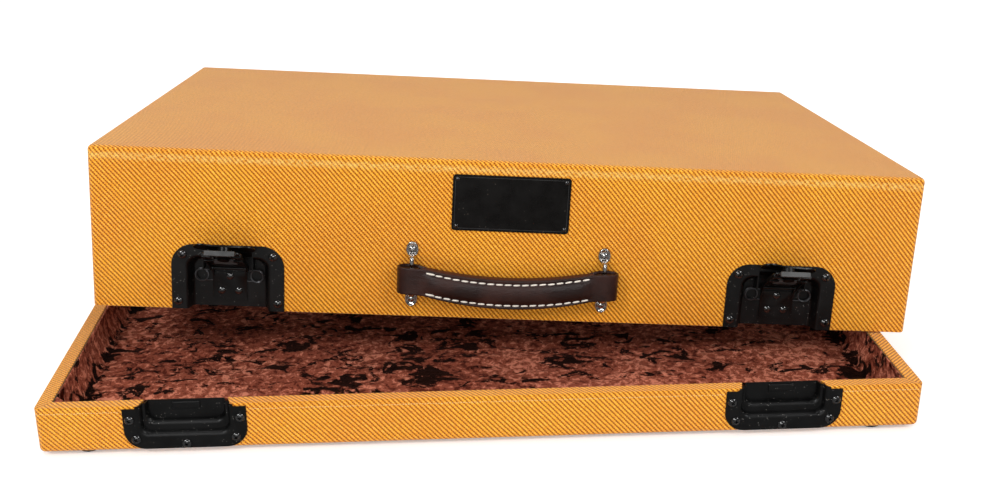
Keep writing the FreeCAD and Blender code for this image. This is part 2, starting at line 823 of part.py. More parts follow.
def rounded_path(points, radius):
    """Straight runs joined by tangent arcs of one radius, as edges."""
    edges = []
    start = points[0]
    for before, corner, after in zip(points, points[1:], points[2:]):
        inward = (before - corner).normalize()
        onward = (after - corner).normalize()
        turn = math.pi - inward.getAngle(onward)
        tangent = radius * math.tan(turn / 2)
        bisector = (inward + onward).normalize()
        centre = corner + bisector * (radius / math.cos(turn / 2))
        bend_start = corner + inward * tangent
        bend_end = corner + onward * tangent
        edges += polygon_edges([start, bend_start])
        edges.append(arc_edge(bend_start, centre - bisector * radius, bend_end))
        start = bend_end
    return edges + polygon_edges([start, points[-1]])


def strap_arc(height, reach):
    """The end points and the middle of one long edge of the strap, which hangs in an arc
    between the bars."""
    curve = (bar_offset * bar_offset + strap_sag * strap_sag) / (2 * strap_sag)
    drop = math.sqrt(curve * curve - reach * reach) - (curve - strap_sag)
    return Vec(-reach, 0, height - drop), Vec(0, 0, height - strap_sag), Vec(reach, 0, height - drop)


def strap_body(inset, reach):
    """The padded length between the two end loops; an inset gives the core inside the leather."""
    half = strap_width / 2 - inset
    top_left, top_middle, top_right = strap_arc(half, reach)
    low_left, low_middle, low_right = strap_arc(-half, reach)
    edges = [arc_edge(top_left, top_middle, top_right), arc_edge(low_right, low_middle, low_left)]
    edges += polygon_edges([top_right, low_right]) + polygon_edges([low_left, top_left])
    face = Part.Face(Part.Wire(Part.__sortEdges__(edges)))
    return moved(face.extrude(Vec(0, 2 * inset - strap_thickness, 0)), 0, -strap_back_stand - inset)


def padded_strap():
    body = strap_body(0, strap_body_reach)
    return eased(body, strap_edge_chamfer,
                 lambda edge: edge.Length > strap_body_reach and abs(middle(edge).x) < strap_leather)


def end_loop(way):
    """A flat-sided loop of leather round one bar, with some play along Y."""
    radius = strap_end_thickness / 2
    centre_y = -bar_stand
    x = way * bar_offset
    inward = -way * (strap_end_reach + strap_leather)
    half_height = strap_width / 2
    outer = Vec(x, centre_y - radius, 0)
    inner = Vec(x, centre_y + radius, 0)
    outline = [arc_edge(outer, Vec(x + way * strap_end_reach, centre_y, 0), inner)]
    outline += polygon_edges([inner, Vec(x + inward, -strap_back_stand, 0),
                              Vec(x + inward, -strap_back_stand - strap_thickness, 0), outer])
    loop = moved(outline_solid(outline, Vec(0, 0, strap_width)), 0, 0, -half_height)
    return loop


def loop_hole(way):
    """The eye of a loop: round where it bears on the bar, longer behind it for the play."""
    radius = bar_diameter / 2 + strap_loop_clearance
    x = way * bar_offset
    near = -bar_stand + strap_loop_play
    far = -bar_stand
    tall = strap_width + 2 * overrun
    left_far = Vec(x - radius, far, 0)
    right_far = Vec(x + radius, far, 0)
    left_near = Vec(x - radius, near, 0)
    right_near = Vec(x + radius, near, 0)
    outline = [arc_edge(left_far, Vec(x, far - radius, 0), right_far)]
    outline += polygon_edges([right_far, right_near])
    outline.append(arc_edge(right_near, Vec(x, near + radius, 0), left_near))
    outline += polygon_edges([left_near, left_far])
    return moved(outline_solid(outline, Vec(0, 0, tall)), 0, 0, -tall / 2)


def handle_pieces():
    """The leather strap and, inside it, its core."""
    core = strap_body(strap_leather, strap_body_reach - strap_leather)
    strap = joined([padded_strap(), end_loop(-1), end_loop(1)])
    strap = cut_all(strap, [loop_hole(-1), loop_hole(1), core])
    return strap, core


# Hinge halves, in a frame with x = 0 at the hinge, y = 0 on the case's back, z = 0 on the
# parting line

def hinge_leaf(way, knuckle_low, knuckle_high):
    """A leaf on the back with its knuckle on the parting line."""
    leaf_ends = sorted((way * hinge_end_clearance, way * hinge_leaf_height))
    leaf = box_between(-hinge_width / 2, hinge_width / 2, 0, plate_sheet, leaf_ends[0], leaf_ends[1])
    axis_y = hinge_knuckle_radius + plate_sheet / 2
    knuckle_length = knuckle_high - knuckle_low
    knuckle = rod(2 * hinge_knuckle_radius, Vec(knuckle_low, axis_y, 0), along_x, knuckle_length)
    web_ends = sorted((0, way * 2 * hinge_knuckle_radius))
    web = box_between(knuckle_low, knuckle_high, 0, plate_sheet, web_ends[0], web_ends[1])
    hole = hinge_screw_shank_diameter + screw_hole_clearance
    holes = [bore_at(hole, x, z, -overrun, plate_sheet + overrun) for x, z in hinge_screw_places(way)]
    return cut_all(joined([leaf, knuckle, web]), holes)


def hinge_screw_places(way):
    return [(x_way * hinge_screw_spacing / 2, way * hinge_screw_drop) for x_way in (-1, 1)]


def hinge_rod(x_low, x_high, clearance):
    axis_y = hinge_knuckle_radius + plate_sheet / 2
    return rod(hinge_pin_diameter + clearance, Vec(x_low, axis_y, 0), along_x, x_high - x_low)


def tray_hinge_half():
    """Its knuckle holds the pin, which is pressed and brazed in."""
    pin = hinge_rod(-hinge_end_clearance, hinge_width / 2 - hinge_pin_setback, 0)
    return joined([hinge_leaf(-1, -hinge_width / 2, -hinge_end_clearance / 2), pin])


def lid_hinge_half():
    """Its knuckle slips over the pin."""
    return hinge_leaf(1, hinge_end_clearance / 2, hinge_width / 2).cut(
        hinge_rod(-overrun, hinge_width / 2 + overrun, 2 * hinge_pin_clearance))


def hinge_screw(x, z):
    screw = raised_screw(hinge_screw_head_diameter, hinge_screw_head_height, hinge_screw_shank_diameter,
                       hinge_screw_length, plate_sheet)
    return moved(turned(screw, Vec(0, 0, 0), along_x, -quarter_turn), x, 0, z)


# Name plate and its screws, in the lid's frame

def name_plate():
    low = plate_centre_height - plate_height / 2
    high = plate_centre_height + plate_height / 2
    plate = box_between(-plate_width / 2, plate_width / 2, front - plate_thickness, front, low, high)
    plate = softened(plate, plate_corner_radius, lambda edge: close(abs(middle(edge).x), plate_width / 2)
                     and (close(middle(edge).z, low) or close(middle(edge).z, high)))
    hole = plate_screw_shank_diameter + screw_hole_clearance
    holes = [bore_at(hole, x, z, front - plate_thickness - overrun, front + overrun)
             for x, z in plate_screw_places()]
    return cut_all(plate, holes)


def plate_screw_places():
    x = plate_width / 2 - plate_screw_inset
    z = plate_height / 2 - plate_screw_inset
    return [(x_way * x, plate_centre_height + z_way * z) for x_way in (-1, 1) for z_way in (-1, 1)]


# Where the lid rests

def lid_placement():
    """The tilt that lets the lid lean on the tray's right rim, its rear rim and the floor.

    The inner edge of the lid's front wall crosses the right rim's outer edge, the inner edge of
    its left wall crosses the rear rim's outer edge, and its rear right corner is on the floor."""
    roll, pitch, height = 0.0, 0.0, rim_height
    inner_front = front + rim_width
    inner_left = rim_width - side
    for _ in range(settling_rounds):
        turn = FreeCAD.Rotation(lid_turn, math.degrees(roll), math.degrees(pitch))
        along = turn.multVec(along_x)
        across = turn.multVec(along_y)
        right_cross = (side - lid_shift_right - across.x * inner_front) / along.x
        rear_cross = (back - lid_shift_back - along.y * inner_left) / across.y
        on_right_rim = Vec(right_cross, inner_front, rim_height)
        on_rear_rim = Vec(inner_left, rear_cross, rim_height)
        on_floor = Vec(side, back, 0)
        normal = (on_right_rim - on_floor).cross(on_rear_rim - on_floor)
        slope_x = -normal.x / normal.z
        slope_y = -normal.y / normal.z
        height = -slope_x * on_floor.x - slope_y * on_floor.y
        roll = math.asin(-slope_x)
        pitch = math.asin(slope_y / math.cos(roll))
    turn = FreeCAD.Rotation(lid_turn, math.degrees(roll), math.degrees(pitch))
    return FreeCAD.Placement(Vec(lid_shift_right, lid_shift_back, height + lid_rest_clearance), turn)


# Assembly

nodes = {}


def add(name, shapes, placement=None):
    """Keep one node, as one solid or as a group of separate solids."""
    shapes = shapes if isinstance(shapes, list) else [shapes]
    solids = [solid for shape in shapes for solid in shape.Solids]
    shape = solids[0].copy() if len(solids) == 1 else Part.makeCompound(solids)
    if placement:
        shape.Placement = placement.multiply(shape.Placement)
    nodes[name] = shape


def origin_shift():
    """From the middle of the tray to the middle of everything, along the floor."""
    space = FreeCAD.BoundBox()
    for shape in nodes.values():
        space.add(shape.BoundBox)
    return Vec(-space.Center.x, -space.Center.y, 0)


def save_all(shift):
    for name, shape in nodes.items():
        shape.translate(shift)
        for number, solid in enumerate(shape.Solids):
            if not solid.isValid():
                print("check", name, number)
        print(name, len(shape.Solids), round(shape.Volume))
        shape.exportStep("parts/" + name + ".step")


latch_places = {"left": -latch_offset, "right": latch_offset}
hinge_places = {"left": -hinge_offset, "right": hinge_offset}


def on_front(shape, x, z):
    """Move a piece from a dish's or the handle's own frame to the front of a shell."""
    return moved(shape, x, front, z)


def plate_screw():
    return raised_screw(plate_screw_head_diameter, plate_screw_head_height,
                      plate_screw_shank_diameter, plate_screw_length, plate_thickness)


def bracket_screw():
    return raised_screw(bracket_screw_head_diameter, bracket_screw_head_height,
                      bracket_screw_shank_diameter, bracket_screw_length, eye_thickness)


def bracket_screw_places():
    return [(x_way * bar_offset, handle_height + z_way * eye_spacing / 2)
            for x_way in (-1, 1) for z_way in (-1, 1)]


def dish_screws(places, rim):
    """The screws of both latches' dishes in one shell, whose rim is at that height."""
    return [put_on_front(dish_screw(), x + place, z + rim)
            for place in latch_places.values() for x, z in places]


def hinge_screws(way, rim):
    return [moved(hinge_screw(x, z), place, back, rim)
            for place in hinge_places.values() for x, z in hinge_screw_places(way)]


def foot_places():
    x = side - foot_inset_side
    y = back - foot_inset_front
    return [(x_way * x, y_way * y) for x_way in (-1, 1) for y_way in (-1, 1)]


def foot():
    """A rubber foot, eased at the floor, with a recess for its screw."""
    body = eased(flat_sided(foot_diameter, 0, foot_height, foot_sides), foot_taper, at_height(0))
    recess_hole = flat_sided(foot_recess_diameter, -overrun, foot_recess_depth, head_sides)
    hole = shank(dish_screw_shank_diameter, -overrun, foot_height + overrun)
    return body.cut(recess_hole).cut(hole)


def foot_screw():
    """Head down in the foot's recess, shank up into the tray."""
    screw = raised_screw(foot_screw_head_diameter, foot_screw_head_height, dish_screw_shank_diameter,
                       foot_screw_length)
    return moved(turned(screw, Vec(0, 0, 0), along_x, half_turn), 0, 0, foot_recess_depth)


def build_tray():
    """The tray, whose screws cut their own holes in what they go into."""
    shell = {name: moved(shape, 0, 0, foot_height) for name, shape in half_shell(tray_height).items()}
    screws = dish_screws(tray_dish_screws(), rim_height)
    rear_screws = hinge_screws(-1, rim_height)
    foot_screws = [moved(foot_screw(), x, y, 0) for x, y in foot_places()]
    cutters = [on_front(dish_cutter(tray_pan_step_drop, -1), place, rim_height)
               for place in latch_places.values()]
    add("tray_floor_panel", cut_all(shell["panel"], foot_screws + screws))
    add("tray_front_wall", cut_all(shell["front_wall"], cutters + screws))
    add("tray_rear_wall", cut_all(shell["rear_wall"], rear_screws))
    add("tray_left_wall", shell["left_wall"])
    add("tray_right_wall", shell["right_wall"])
    add("tray_covering", cut_all(shell["covering"], cutters + screws + rear_screws + foot_screws))
    add("tray_lining", shell["lining"])
    add("tray_feet", [moved(foot(), x, y, 0) for x, y in foot_places()])
    add("tray_foot_screws", foot_screws)
    add("keeper_dishes", [on_front(tray_dish(), place, rim_height) for place in latch_places.values()])
    add("keeper_dish_screws", screws)
    add("tray_hinge_halves", [moved(tray_hinge_half(), place, back, rim_height)
                              for place in hinge_places.values()])
    add("tray_hinge_screws", rear_screws)


def build_lid(placement):
    """The lid with everything that is fixed to it, tilted as it lies."""
    shell = lid_shell()
    screws = dish_screws(lid_dish_screws(), 0)
    plate_screws = [put_on_front(plate_screw(), x, z) for x, z in plate_screw_places()]
    bracket_screws = [put_on_front(bracket_screw(), x, z) for x, z in bracket_screw_places()]
    rear_screws = hinge_screws(1, 0)
    cutters = [on_front(tool, place, 0) for place in latch_places.values()
               for tool in (dish_cutter(lid_pan_mouth_height, 1), relief_cutter())]
    front_tools = cutters + screws + plate_screws + bracket_screws
    add("lid_top_panel", shell["panel"], placement)
    add("lid_front_wall", cut_all(shell["front_wall"], front_tools), placement)
    add("lid_rear_wall", cut_all(shell["rear_wall"], rear_screws), placement)
    add("lid_left_wall", shell["left_wall"], placement)
    add("lid_right_wall", shell["right_wall"], placement)
    add("lid_covering", cut_all(shell["covering"], front_tools + rear_screws), placement)
    add("lid_lining", shell["lining"], placement)
    add("name_plate", name_plate(), placement)
    add("name_plate_screws", plate_screws, placement)
    add("latch_dishes", [on_front(lid_dish(), place, 0) for place in latch_places.values()], placement)
    add("latch_bases", [on_front(base_plate(), place, 0) for place in latch_places.values()], placement)
    add("latch_springs", [on_front(wire_spring(way), place, 0)
                          for place in latch_places.values() for way in (-1, 1)], placement)
    add("latch_dish_screws", screws, placement)
    rivets = [on_front(base_rivet(x, z), place, 0)
              for place in latch_places.values() for x, z in base_rivet_places()]
    add("latch_base_rivets", rivets, placement)
    add("latch_pins", [on_front(latch_pin(), place, 0) for place in latch_places.values()], placement)
    add("handle_brackets", [on_front(handle_bracket(), way * bar_offset, handle_height)
                            for way in (-1, 1)], placement)
    add("handle_bracket_screws", bracket_screws, placement)
    add("lid_hinge_halves", [moved(lid_hinge_half(), place, back, 0) for place in hinge_places.values()],
        placement)
    add("lid_hinge_screws", rear_screws, placement)


def build_latches(placement):
    for name, place in latch_places.items():
        set_turn = wing_set_turns[name]
        drawn = 2 * cam_offset * set_turn / half_turn
        pieces = {
            "latch_carrier_": carrier(),
            "latch_hook_": moved(hook_plate(), 0, 0, drawn),
            "latch_wing_": on_latch(wing(), set_turn),
            "latch_cam_": on_latch(cam_stud(), set_turn),
        }
        for node, shape in pieces.items():
            add(node + name, on_front(opened(shape), place, 0), placement)


def build_handle(placement):
    strap, core = handle_pieces()
    add("handle_strap", on_front(strap, 0, handle_height), placement)
    add("handle_core", on_front(core, 0, handle_height), placement)


def main():
    placement = lid_placement()
    print("lid placement", placement)
    print("least gap of a spring's wire to itself", round(spring_self_gap(), 2))
    build_tray()
    build_lid(placement)
    build_latches(placement)
    build_handle(placement)
    save_all(origin_shift())


main()
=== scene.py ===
import json
import math
import random

import bmesh
import bpy
from mathutils import Matrix, Vector, noise

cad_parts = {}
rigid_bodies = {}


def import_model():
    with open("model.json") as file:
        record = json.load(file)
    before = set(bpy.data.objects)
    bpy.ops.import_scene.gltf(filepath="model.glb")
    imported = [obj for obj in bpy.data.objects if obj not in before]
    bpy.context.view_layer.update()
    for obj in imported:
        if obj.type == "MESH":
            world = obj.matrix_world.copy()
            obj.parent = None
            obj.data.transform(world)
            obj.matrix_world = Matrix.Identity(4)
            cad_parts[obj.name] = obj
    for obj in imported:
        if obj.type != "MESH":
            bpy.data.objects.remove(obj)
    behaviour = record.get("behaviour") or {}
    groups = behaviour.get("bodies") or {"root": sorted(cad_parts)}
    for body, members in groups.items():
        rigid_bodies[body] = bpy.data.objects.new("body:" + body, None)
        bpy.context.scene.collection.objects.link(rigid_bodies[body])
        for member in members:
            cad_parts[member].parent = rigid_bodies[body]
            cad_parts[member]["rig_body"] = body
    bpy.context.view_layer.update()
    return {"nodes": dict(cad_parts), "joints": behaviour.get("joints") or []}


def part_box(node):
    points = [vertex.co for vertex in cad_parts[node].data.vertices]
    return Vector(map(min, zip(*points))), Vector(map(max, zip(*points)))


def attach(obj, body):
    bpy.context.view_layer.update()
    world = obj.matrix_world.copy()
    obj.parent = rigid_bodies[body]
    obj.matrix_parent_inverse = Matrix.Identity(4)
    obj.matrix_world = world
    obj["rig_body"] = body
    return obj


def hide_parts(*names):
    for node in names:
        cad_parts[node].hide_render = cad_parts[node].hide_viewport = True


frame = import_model()
random.seed(11)
MM = 0.001
SIDES = (-1, 1)

# The case's own sizes, as its source gives them, in millimetres
CASE_WIDTH = 813.0
CASE_DEPTH = 546.0
TRAY_HEIGHT = 45.5
LID_HEIGHT = 161.0
FOOT_HEIGHT = 4.0
RIM_WIDTH = 13.0
SIDE = CASE_WIDTH / 2
FRONT = -CASE_DEPTH / 2
BACK = CASE_DEPTH / 2
LATCH_OFFSET = 274.5
PIVOT = (7.5, 41.0)
DISH_SHEET = 1.2
PAN_DEPTH = 13.0
PAN_MOUTH = 79.0
PAN_BACK = 72.0
PAN_FLOOR = PAN_DEPTH - DISH_SHEET
LATCH_OPEN = math.radians(122.0)
WING_TOP = 11.3
WING_REACH = 36.0
WING_HALF = 29.5
WING_ROOM = 0.4
CUT_ROOM = 0.3
CUT_HALF = PAN_MOUTH / 2 + DISH_SHEET + CUT_ROOM
BAR_OFFSET = 94.7
HANDLE_HEIGHT = 44.6
STRAP_SAG = 12.7
EYE_RISE = 25.6
BAR_DEPTH = -11.0
PLATE_CENTRE = 118.9

# The cloth's weave and the painted highlight along the bend under the lid's top edge, in metres
RIB_ALONG = 0.0046
RIB_UP = 0.0050
BEAD_PITCH = 0.0032
FOLD_HIGHLIGHT_STARTS, FOLD_HIGHLIGHT_FULL, FOLD_HIGHLIGHT_FADES, FOLD_HIGHLIGHT_ENDS = 0.1460, 0.1515, 0.1525, 0.1570

# The sheets that cover and line the case, in millimetres
EDGE_ROUND = 5.0
TIGHTEST_ROUND = 0.8
RIM_ROUND = 1.2
RIM_TURN = 1.0
RIM_LIP = 9.0
TRAY_CUT = 29.6
LID_CUT = 55.6
CLOTH_THICKNESS = 0.8
LINING_GAP = 0.6
LINING_FLOOR = 9.4
LINING_BELOW_RIM = 1.6
PILE_DEPTH = 1.2

# The carrying strap
STRAP_FACE = -18.7
STRAP_STRAIGHT = 80.0
STRAP_HALF = 84.0
PADDED_HALF = 9.4
LOOP_CENTRE = (97.2, -11.0)
LOOP_REACH = (10.2, 7.6)


# Frames of the tray and of the tilted lid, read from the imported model

def joint(name):
    return next(j for j in frame["joints"] if j["name"] == name)


def lid_frame():
    """From the lid's own millimetres to the row frame: x along it, y from its middle, z up from
    its rim."""
    along = Vector(joint("latch_swing_left")["axis"])
    across = -Vector(joint("handle_pull")["axis"])
    up = along.cross(across)
    turn = Matrix((along, across, up)).transposed().to_4x4()
    known = Vector((-LATCH_OFFSET, FRONT + PIVOT[0], PIVOT[1])) * MM
    place = Vector(joint("latch_swing_left")["pos_m"]) - turn.to_3x3() @ known
    return Matrix.Translation(place) @ turn @ Matrix.Scale(MM, 4)


def tray_frame():
    low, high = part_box("tray_covering")
    middle = (low + high) / 2
    return Matrix.Translation((middle.x, middle.y, FOOT_HEIGHT * MM)) @ Matrix.Scale(MM, 4)


LID = lid_frame()
TRAY = tray_frame()
HANDLE = LID @ Matrix.Translation((0, FRONT, HANDLE_HEIGHT))
TO_FRONT = Matrix.Rotation(math.pi / 2, 4, "X")


# Materials

class Value:
    """A socket of a finish, so that its maths is written as plain expressions."""

    def __init__(self, finish, socket):
        self.finish = finish
        self.socket = socket

    def maths(self, operation, *terms):
        return self.finish.out("ShaderNodeMath", {"operation": operation}, dict(enumerate(terms)))

    def __add__(self, other):
        return self.maths("ADD", self, other)

    def __sub__(self, other):
        return self.maths("SUBTRACT", self, other)

    def __rsub__(self, other):
        return self.maths("SUBTRACT", other, self)

    def __mul__(self, other):
        return self.maths("MULTIPLY", self, other)

    __radd__ = __add__
    __rmul__ = __mul__


class Finish:
    """One material: a principled shader and the nodes that feed it."""

    def __init__(self, name, fixed):
        self.material = bpy.data.materials.new(name)
        self.material.use_nodes = True
        self.tree = self.material.node_tree
        self.shader = self.tree.nodes["Principled BSDF"]
        for socket, value in fixed.items():
            self.shader.inputs[socket].default_value = value

    def feed(self, socket, value):
        if isinstance(value, Value):
            self.tree.links.new(value.socket, socket)
        else:
            socket.default_value = value

    def out(self, kind, settings, inputs, output=0):
        node = self.tree.nodes.new(kind)
        for key, value in settings.items():
            setattr(node, key, value)
        for key, value in inputs.items():
            self.feed(node.inputs[key], value)
        return Value(self, node.outputs[output])

    def set(self, **channels):
        for name, value in channels.items():
            self.feed(self.shader.inputs[name.replace("_", " ")], value)

    def place(self):
        return self.out("ShaderNodeTexCoord", {}, {}, "Object")

    def cloth_place(self):
        return self.out("ShaderNodeUVMap", {"uv_map": "cloth"}, {})

    def mapped(self, vector, scale, turn=(0, 0, 0)):
        return self.out("ShaderNodeMapping", {},
                        {"Vector": vector, "Scale": scale, "Rotation": turn})

    def parts(self, vector):
        node = self.tree.nodes.new("ShaderNodeSeparateXYZ")
        self.feed(node.inputs[0], vector)
        return [Value(self, socket) for socket in node.outputs]

    def noise(self, vector, scale, detail=2.0, roughness=0.5, distortion=0.0):
        return self.out("ShaderNodeTexNoise", {},
                        {"Vector": vector, "Scale": scale, "Detail": detail,
                         "Roughness": roughness, "Distortion": distortion})

    def cells(self, vector, scale):
        return self.out("ShaderNodeTexVoronoi", {"feature": "F1"},
                        {"Vector": vector, "Scale": scale}, "Distance")

    def wave(self, turns):
        """A sine that goes from 0 to 1 and back once a turn."""
        sine = self.out("ShaderNodeMath", {"operation": "SINE"}, {0: turns * (2 * math.pi)})
        return sine * 0.5 + 0.5

    def between(self, value, low, high, to_low=0.0, to_high=1.0):
        return self.out("ShaderNodeMapRange", {"interpolation_type": "SMOOTHSTEP"},
                        {0: value, 1: low, 2: high, 3: to_low, 4: to_high})

    def colour(self, factor, low, high):
        return self.out("ShaderNodeMix", {"data_type": "RGBA"}, {0: factor, 6: low, 7: high}, 2)

    def bump(self, height, distance, strength=1.0):
        return self.out("ShaderNodeBump", {},
                        {"Height": height, "Distance": distance, "Strength": strength})


def srgb(red, green, blue):
    """A colour given as it looks on a screen, 0 to 255, as a shader takes it."""
    parts = [c / 255 for c in (red, green, blue)]
    linear = [c / 12.92 if c <= 0.04045 else ((c + 0.055) / 1.055) ** 2.4 for c in parts]
    return (*linear, 1.0)


def tweed():
    """Twill of slanting ribs, golden yellow over brown, under a thin lacquer."""
    cloth = Finish("tweed", {"Roughness": 0.6, "Specular IOR Level": 0.15, "Sheen Weight": 0.5,
                             "Sheen Roughness": 0.5, "Sheen Tint": srgb(255, 226, 200)})
    u, v, _ = cloth.parts(cloth.cloth_place())
    wander = cloth.noise(cloth.cloth_place(), 26.0, 2.0) - 0.5
    across = u * (1 / RIB_ALONG) + v * (1 / RIB_UP) + wander * 0.5
    along = (u - v) * (1 / BEAD_PITCH) + wander * 1.5
    rib = cloth.wave(across)
    bead = cloth.wave(along)
    speckle = cloth.noise(cloth.cloth_place(), 900.0, 2.0, 0.6)
    patch = cloth.noise(cloth.cloth_place(), 9.0, 2.0, 0.5)
    crest = cloth.between(rib + bead * 0.4 + (speckle - 0.5) * 0.75, 0.14, 0.74)
    groove = srgb(142, 70, 0)
    body = srgb(246, 164, 20)
    high = srgb(255, 206, 96)
    warm = cloth.colour(cloth.between(patch, 0.38, 0.62), body, srgb(240, 152, 20))
    base = cloth.colour(crest, groove, warm)
    glint = cloth.between(rib * 0.6 + speckle * 0.8, 0.84, 1.16)
    slub = cloth.noise(cloth.cloth_place(), 300.0, 3.0, 0.8)
    shine = cloth.colour(glint, base, high)
    worn = cloth.colour(cloth.between(slub, 0.38, 0.60, 0.3, 0.0), shine, groove)
    # A pale band a little under the lid's top edge: a painted highlight where the cloth bends over
    # the edge, broken up by the slubs
    fold_highlight = cloth.between(v, FOLD_HIGHLIGHT_STARTS, FOLD_HIGHLIGHT_FULL) * 0.3
    fold_highlight = fold_highlight * cloth.between(v, FOLD_HIGHLIGHT_FADES, FOLD_HIGHLIGHT_ENDS, 1.0, 0.0)
    fold_highlight = fold_highlight * cloth.between(slub, 0.40, 0.55)
    cloth.set(Base_Color=cloth.colour(fold_highlight, worn, srgb(255, 224, 140)),
              Roughness=cloth.between(crest, 0.0, 1.0, 0.75, 0.5),
              Normal=cloth.bump(crest + speckle * 0.3, 0.0007, 0.7))
    return cloth.material


def velvet():
    """Crushed pile: flattened flakes catch the light, the pits between them stay nearly black, and
    a painted shade darkens it towards the folds.
    """
    cloth = Finish("velvet", {"Roughness": 0.8, "Specular IOR Level": 0.08, "Sheen Weight": 0.1,
                              "Sheen Roughness": 0.4, "Sheen Tint": srgb(215, 130, 105)})
    flake = cloth.noise(cloth.place(), 130.0, 6.0, 0.72, 0.5)
    drawn = cloth.mapped(cloth.place(), (0.62, 1.0, 1.0), (0, 0, 0.15))
    pit = cloth.noise(drawn, 50.0, 6.0, 0.66, 0.8)
    broad = cloth.noise(cloth.place(), 9.0, 2.0, 0.5)
    level = flake + (broad - 0.5) * 0.3
    brown = cloth.colour(cloth.between(level, 0.40, 0.47), srgb(92, 38, 26), srgb(154, 80, 60))
    lit = cloth.colour(cloth.between(level, 0.535, 0.575), brown, srgb(222, 138, 110))
    # crease: a painted shade kept by the lining, strongest at its folds, that pushes the pile
    # towards black there
    crease = cloth.out("ShaderNodeAttribute", {"attribute_name": "crease"}, {}, "Fac")
    depth = pit + (flake - 0.5) * 0.2 - crease * 0.12 + (broad - 0.5) * 0.3
    deep = cloth.between(depth, 0.425, 0.445)
    cloth.set(Base_Color=cloth.colour(deep, srgb(4, 0, 0), lit),
              Normal=cloth.bump(level + deep * 0.3, 0.005, 0.8))
    return cloth.material


def leather():
    hide = Finish("leather", {"Roughness": 0.36, "Specular IOR Level": 0.4})
    grain = hide.cells(hide.place(), 900.0)
    fold_shade = hide.noise(hide.mapped(hide.place(), (1.0, 1.0, 2.5)), 120.0, 4.0, 0.6)
    wear = hide.noise(hide.place(), 30.0, 3.0, 0.6)
    base = hide.colour(hide.between(wear, 0.35, 0.7), srgb(30, 11, 7), srgb(52, 23, 15))
    hide.set(Base_Color=base, Roughness=hide.between(wear, 0.3, 0.75, 0.32, 0.46),
             Normal=hide.bump(grain * 0.5 + fold_shade, 0.0005, 0.5))
    return hide.material


def thread():
    pale_finish = Finish("thread", {"Roughness": 0.75, "Sheen Weight": 0.2})
    mottle = pale_finish.noise(pale_finish.place(), 700.0, 2.0)
    pale_finish.set(Base_Color=pale_finish.colour(mottle, srgb(196, 184, 168), srgb(246, 240, 230)),
               Normal=pale_finish.bump(mottle, 0.0003, 0.6))
    return pale_finish.material


def painted_fold_highlight():
    """A pale yellow for the dashes along the tray's front: a painted highlight on the ribs where
    the cloth bends over its edge.
    """
    pale_finish = Finish("painted_fold_highlight", {"Roughness": 0.8})
    mottle = pale_finish.noise(pale_finish.place(), 500.0, 2.0)
    pale_finish.set(Base_Color=pale_finish.colour(mottle, srgb(224, 168, 92), srgb(252, 222, 160)))
    return pale_finish.material


def leather_edge():
    hide = Finish("leather_edge", {"Roughness": 0.5, "Specular IOR Level": 0.35})
    layers = hide.noise(hide.mapped(hide.place(), (0.3, 3.0, 1.0)), 300.0, 3.0)
    hide.set(Base_Color=hide.colour(layers, srgb(48, 19, 12), srgb(80, 36, 25)),
             Normal=hide.bump(layers, 0.0004, 0.4))
    return hide.material


def black_coat(name, roughness, dust, dark, pale, gloss=0.34):
    """Satin coat with a fine orange-peel and the odd pale speck of dust."""
    coat = Finish(name, {"Roughness": roughness, "Specular IOR Level": gloss})
    peel = coat.noise(coat.place(), 1400.0, 2.0)
    rub = coat.noise(coat.place(), 45.0, 3.0, 0.6)
    tone = coat.colour(coat.between(rub, 0.3, 0.7), srgb(dark, dark, dark), srgb(pale, pale, pale))
    speck = coat.cells(coat.place(), 420.0)
    lucky = coat.noise(coat.place(), 160.0, 1.0)
    grain = coat.between(speck, 0.09, 0.15, 1.0, 0.0) * coat.between(lucky, 0.50, 0.60) * dust
    coat.set(Base_Color=coat.colour(grain, tone, srgb(150, 146, 140)),
             Roughness=coat.between(rub, 0.3, 0.7, roughness - 0.04, roughness + 0.06),
             Normal=coat.bump(peel, 0.00006, 0.4))
    return coat.material


def gloss_black():
    coat = Finish("gloss_black", {"Roughness": 0.14, "Specular IOR Level": 1.0, "Coat Weight": 0.6,
                                  "Coat Roughness": 0.1})
    haze = coat.noise(coat.place(), 300.0, 2.0)
    coat.set(Base_Color=coat.colour(haze, srgb(10, 10, 11), srgb(24, 23, 23)),
             Roughness=coat.between(haze, 0.3, 0.7, 0.1, 0.2))
    return coat.material


def chrome():
    plate = Finish("chrome", {"Metallic": 1.0, "Roughness": 0.08})
    haze = plate.noise(plate.place(), 160.0, 3.0)
    plate.set(Base_Color=plate.colour(haze, srgb(176, 174, 172), srgb(206, 204, 202)),
              Roughness=plate.between(haze, 0.3, 0.7, 0.08, 0.2))
    return plate.material


def dark_wire():
    wire = Finish("dark_wire", {"Metallic": 0.8, "Roughness": 0.35})
    haze = wire.noise(wire.place(), 400.0, 2.0)
    wire.set(Base_Color=wire.colour(haze, srgb(54, 54, 56), srgb(96, 96, 98)),
             Roughness=wire.between(haze, 0.3, 0.7, 0.28, 0.45))
    return wire.material


def plate_black():
    """Smooth black lacquer, a little browner than the fittings, with fine dust."""
    coat = Finish("plate_black", {"Roughness": 0.3, "Specular IOR Level": 0.2})
    rub = coat.noise(coat.place(), 60.0, 3.0, 0.6)
    speck = coat.cells(coat.place(), 330.0)
    grain = coat.between(speck, 0.08, 0.13, 1.0, 0.0) * coat.between(rub, 0.54, 0.6)
    tone = coat.colour(rub, srgb(4, 3, 2), srgb(12, 8, 6))
    coat.set(Base_Color=coat.colour(grain * 0.5, tone, srgb(130, 120, 110)),
             Roughness=coat.between(rub, 0.3, 0.7, 0.24, 0.4))
    return coat.material


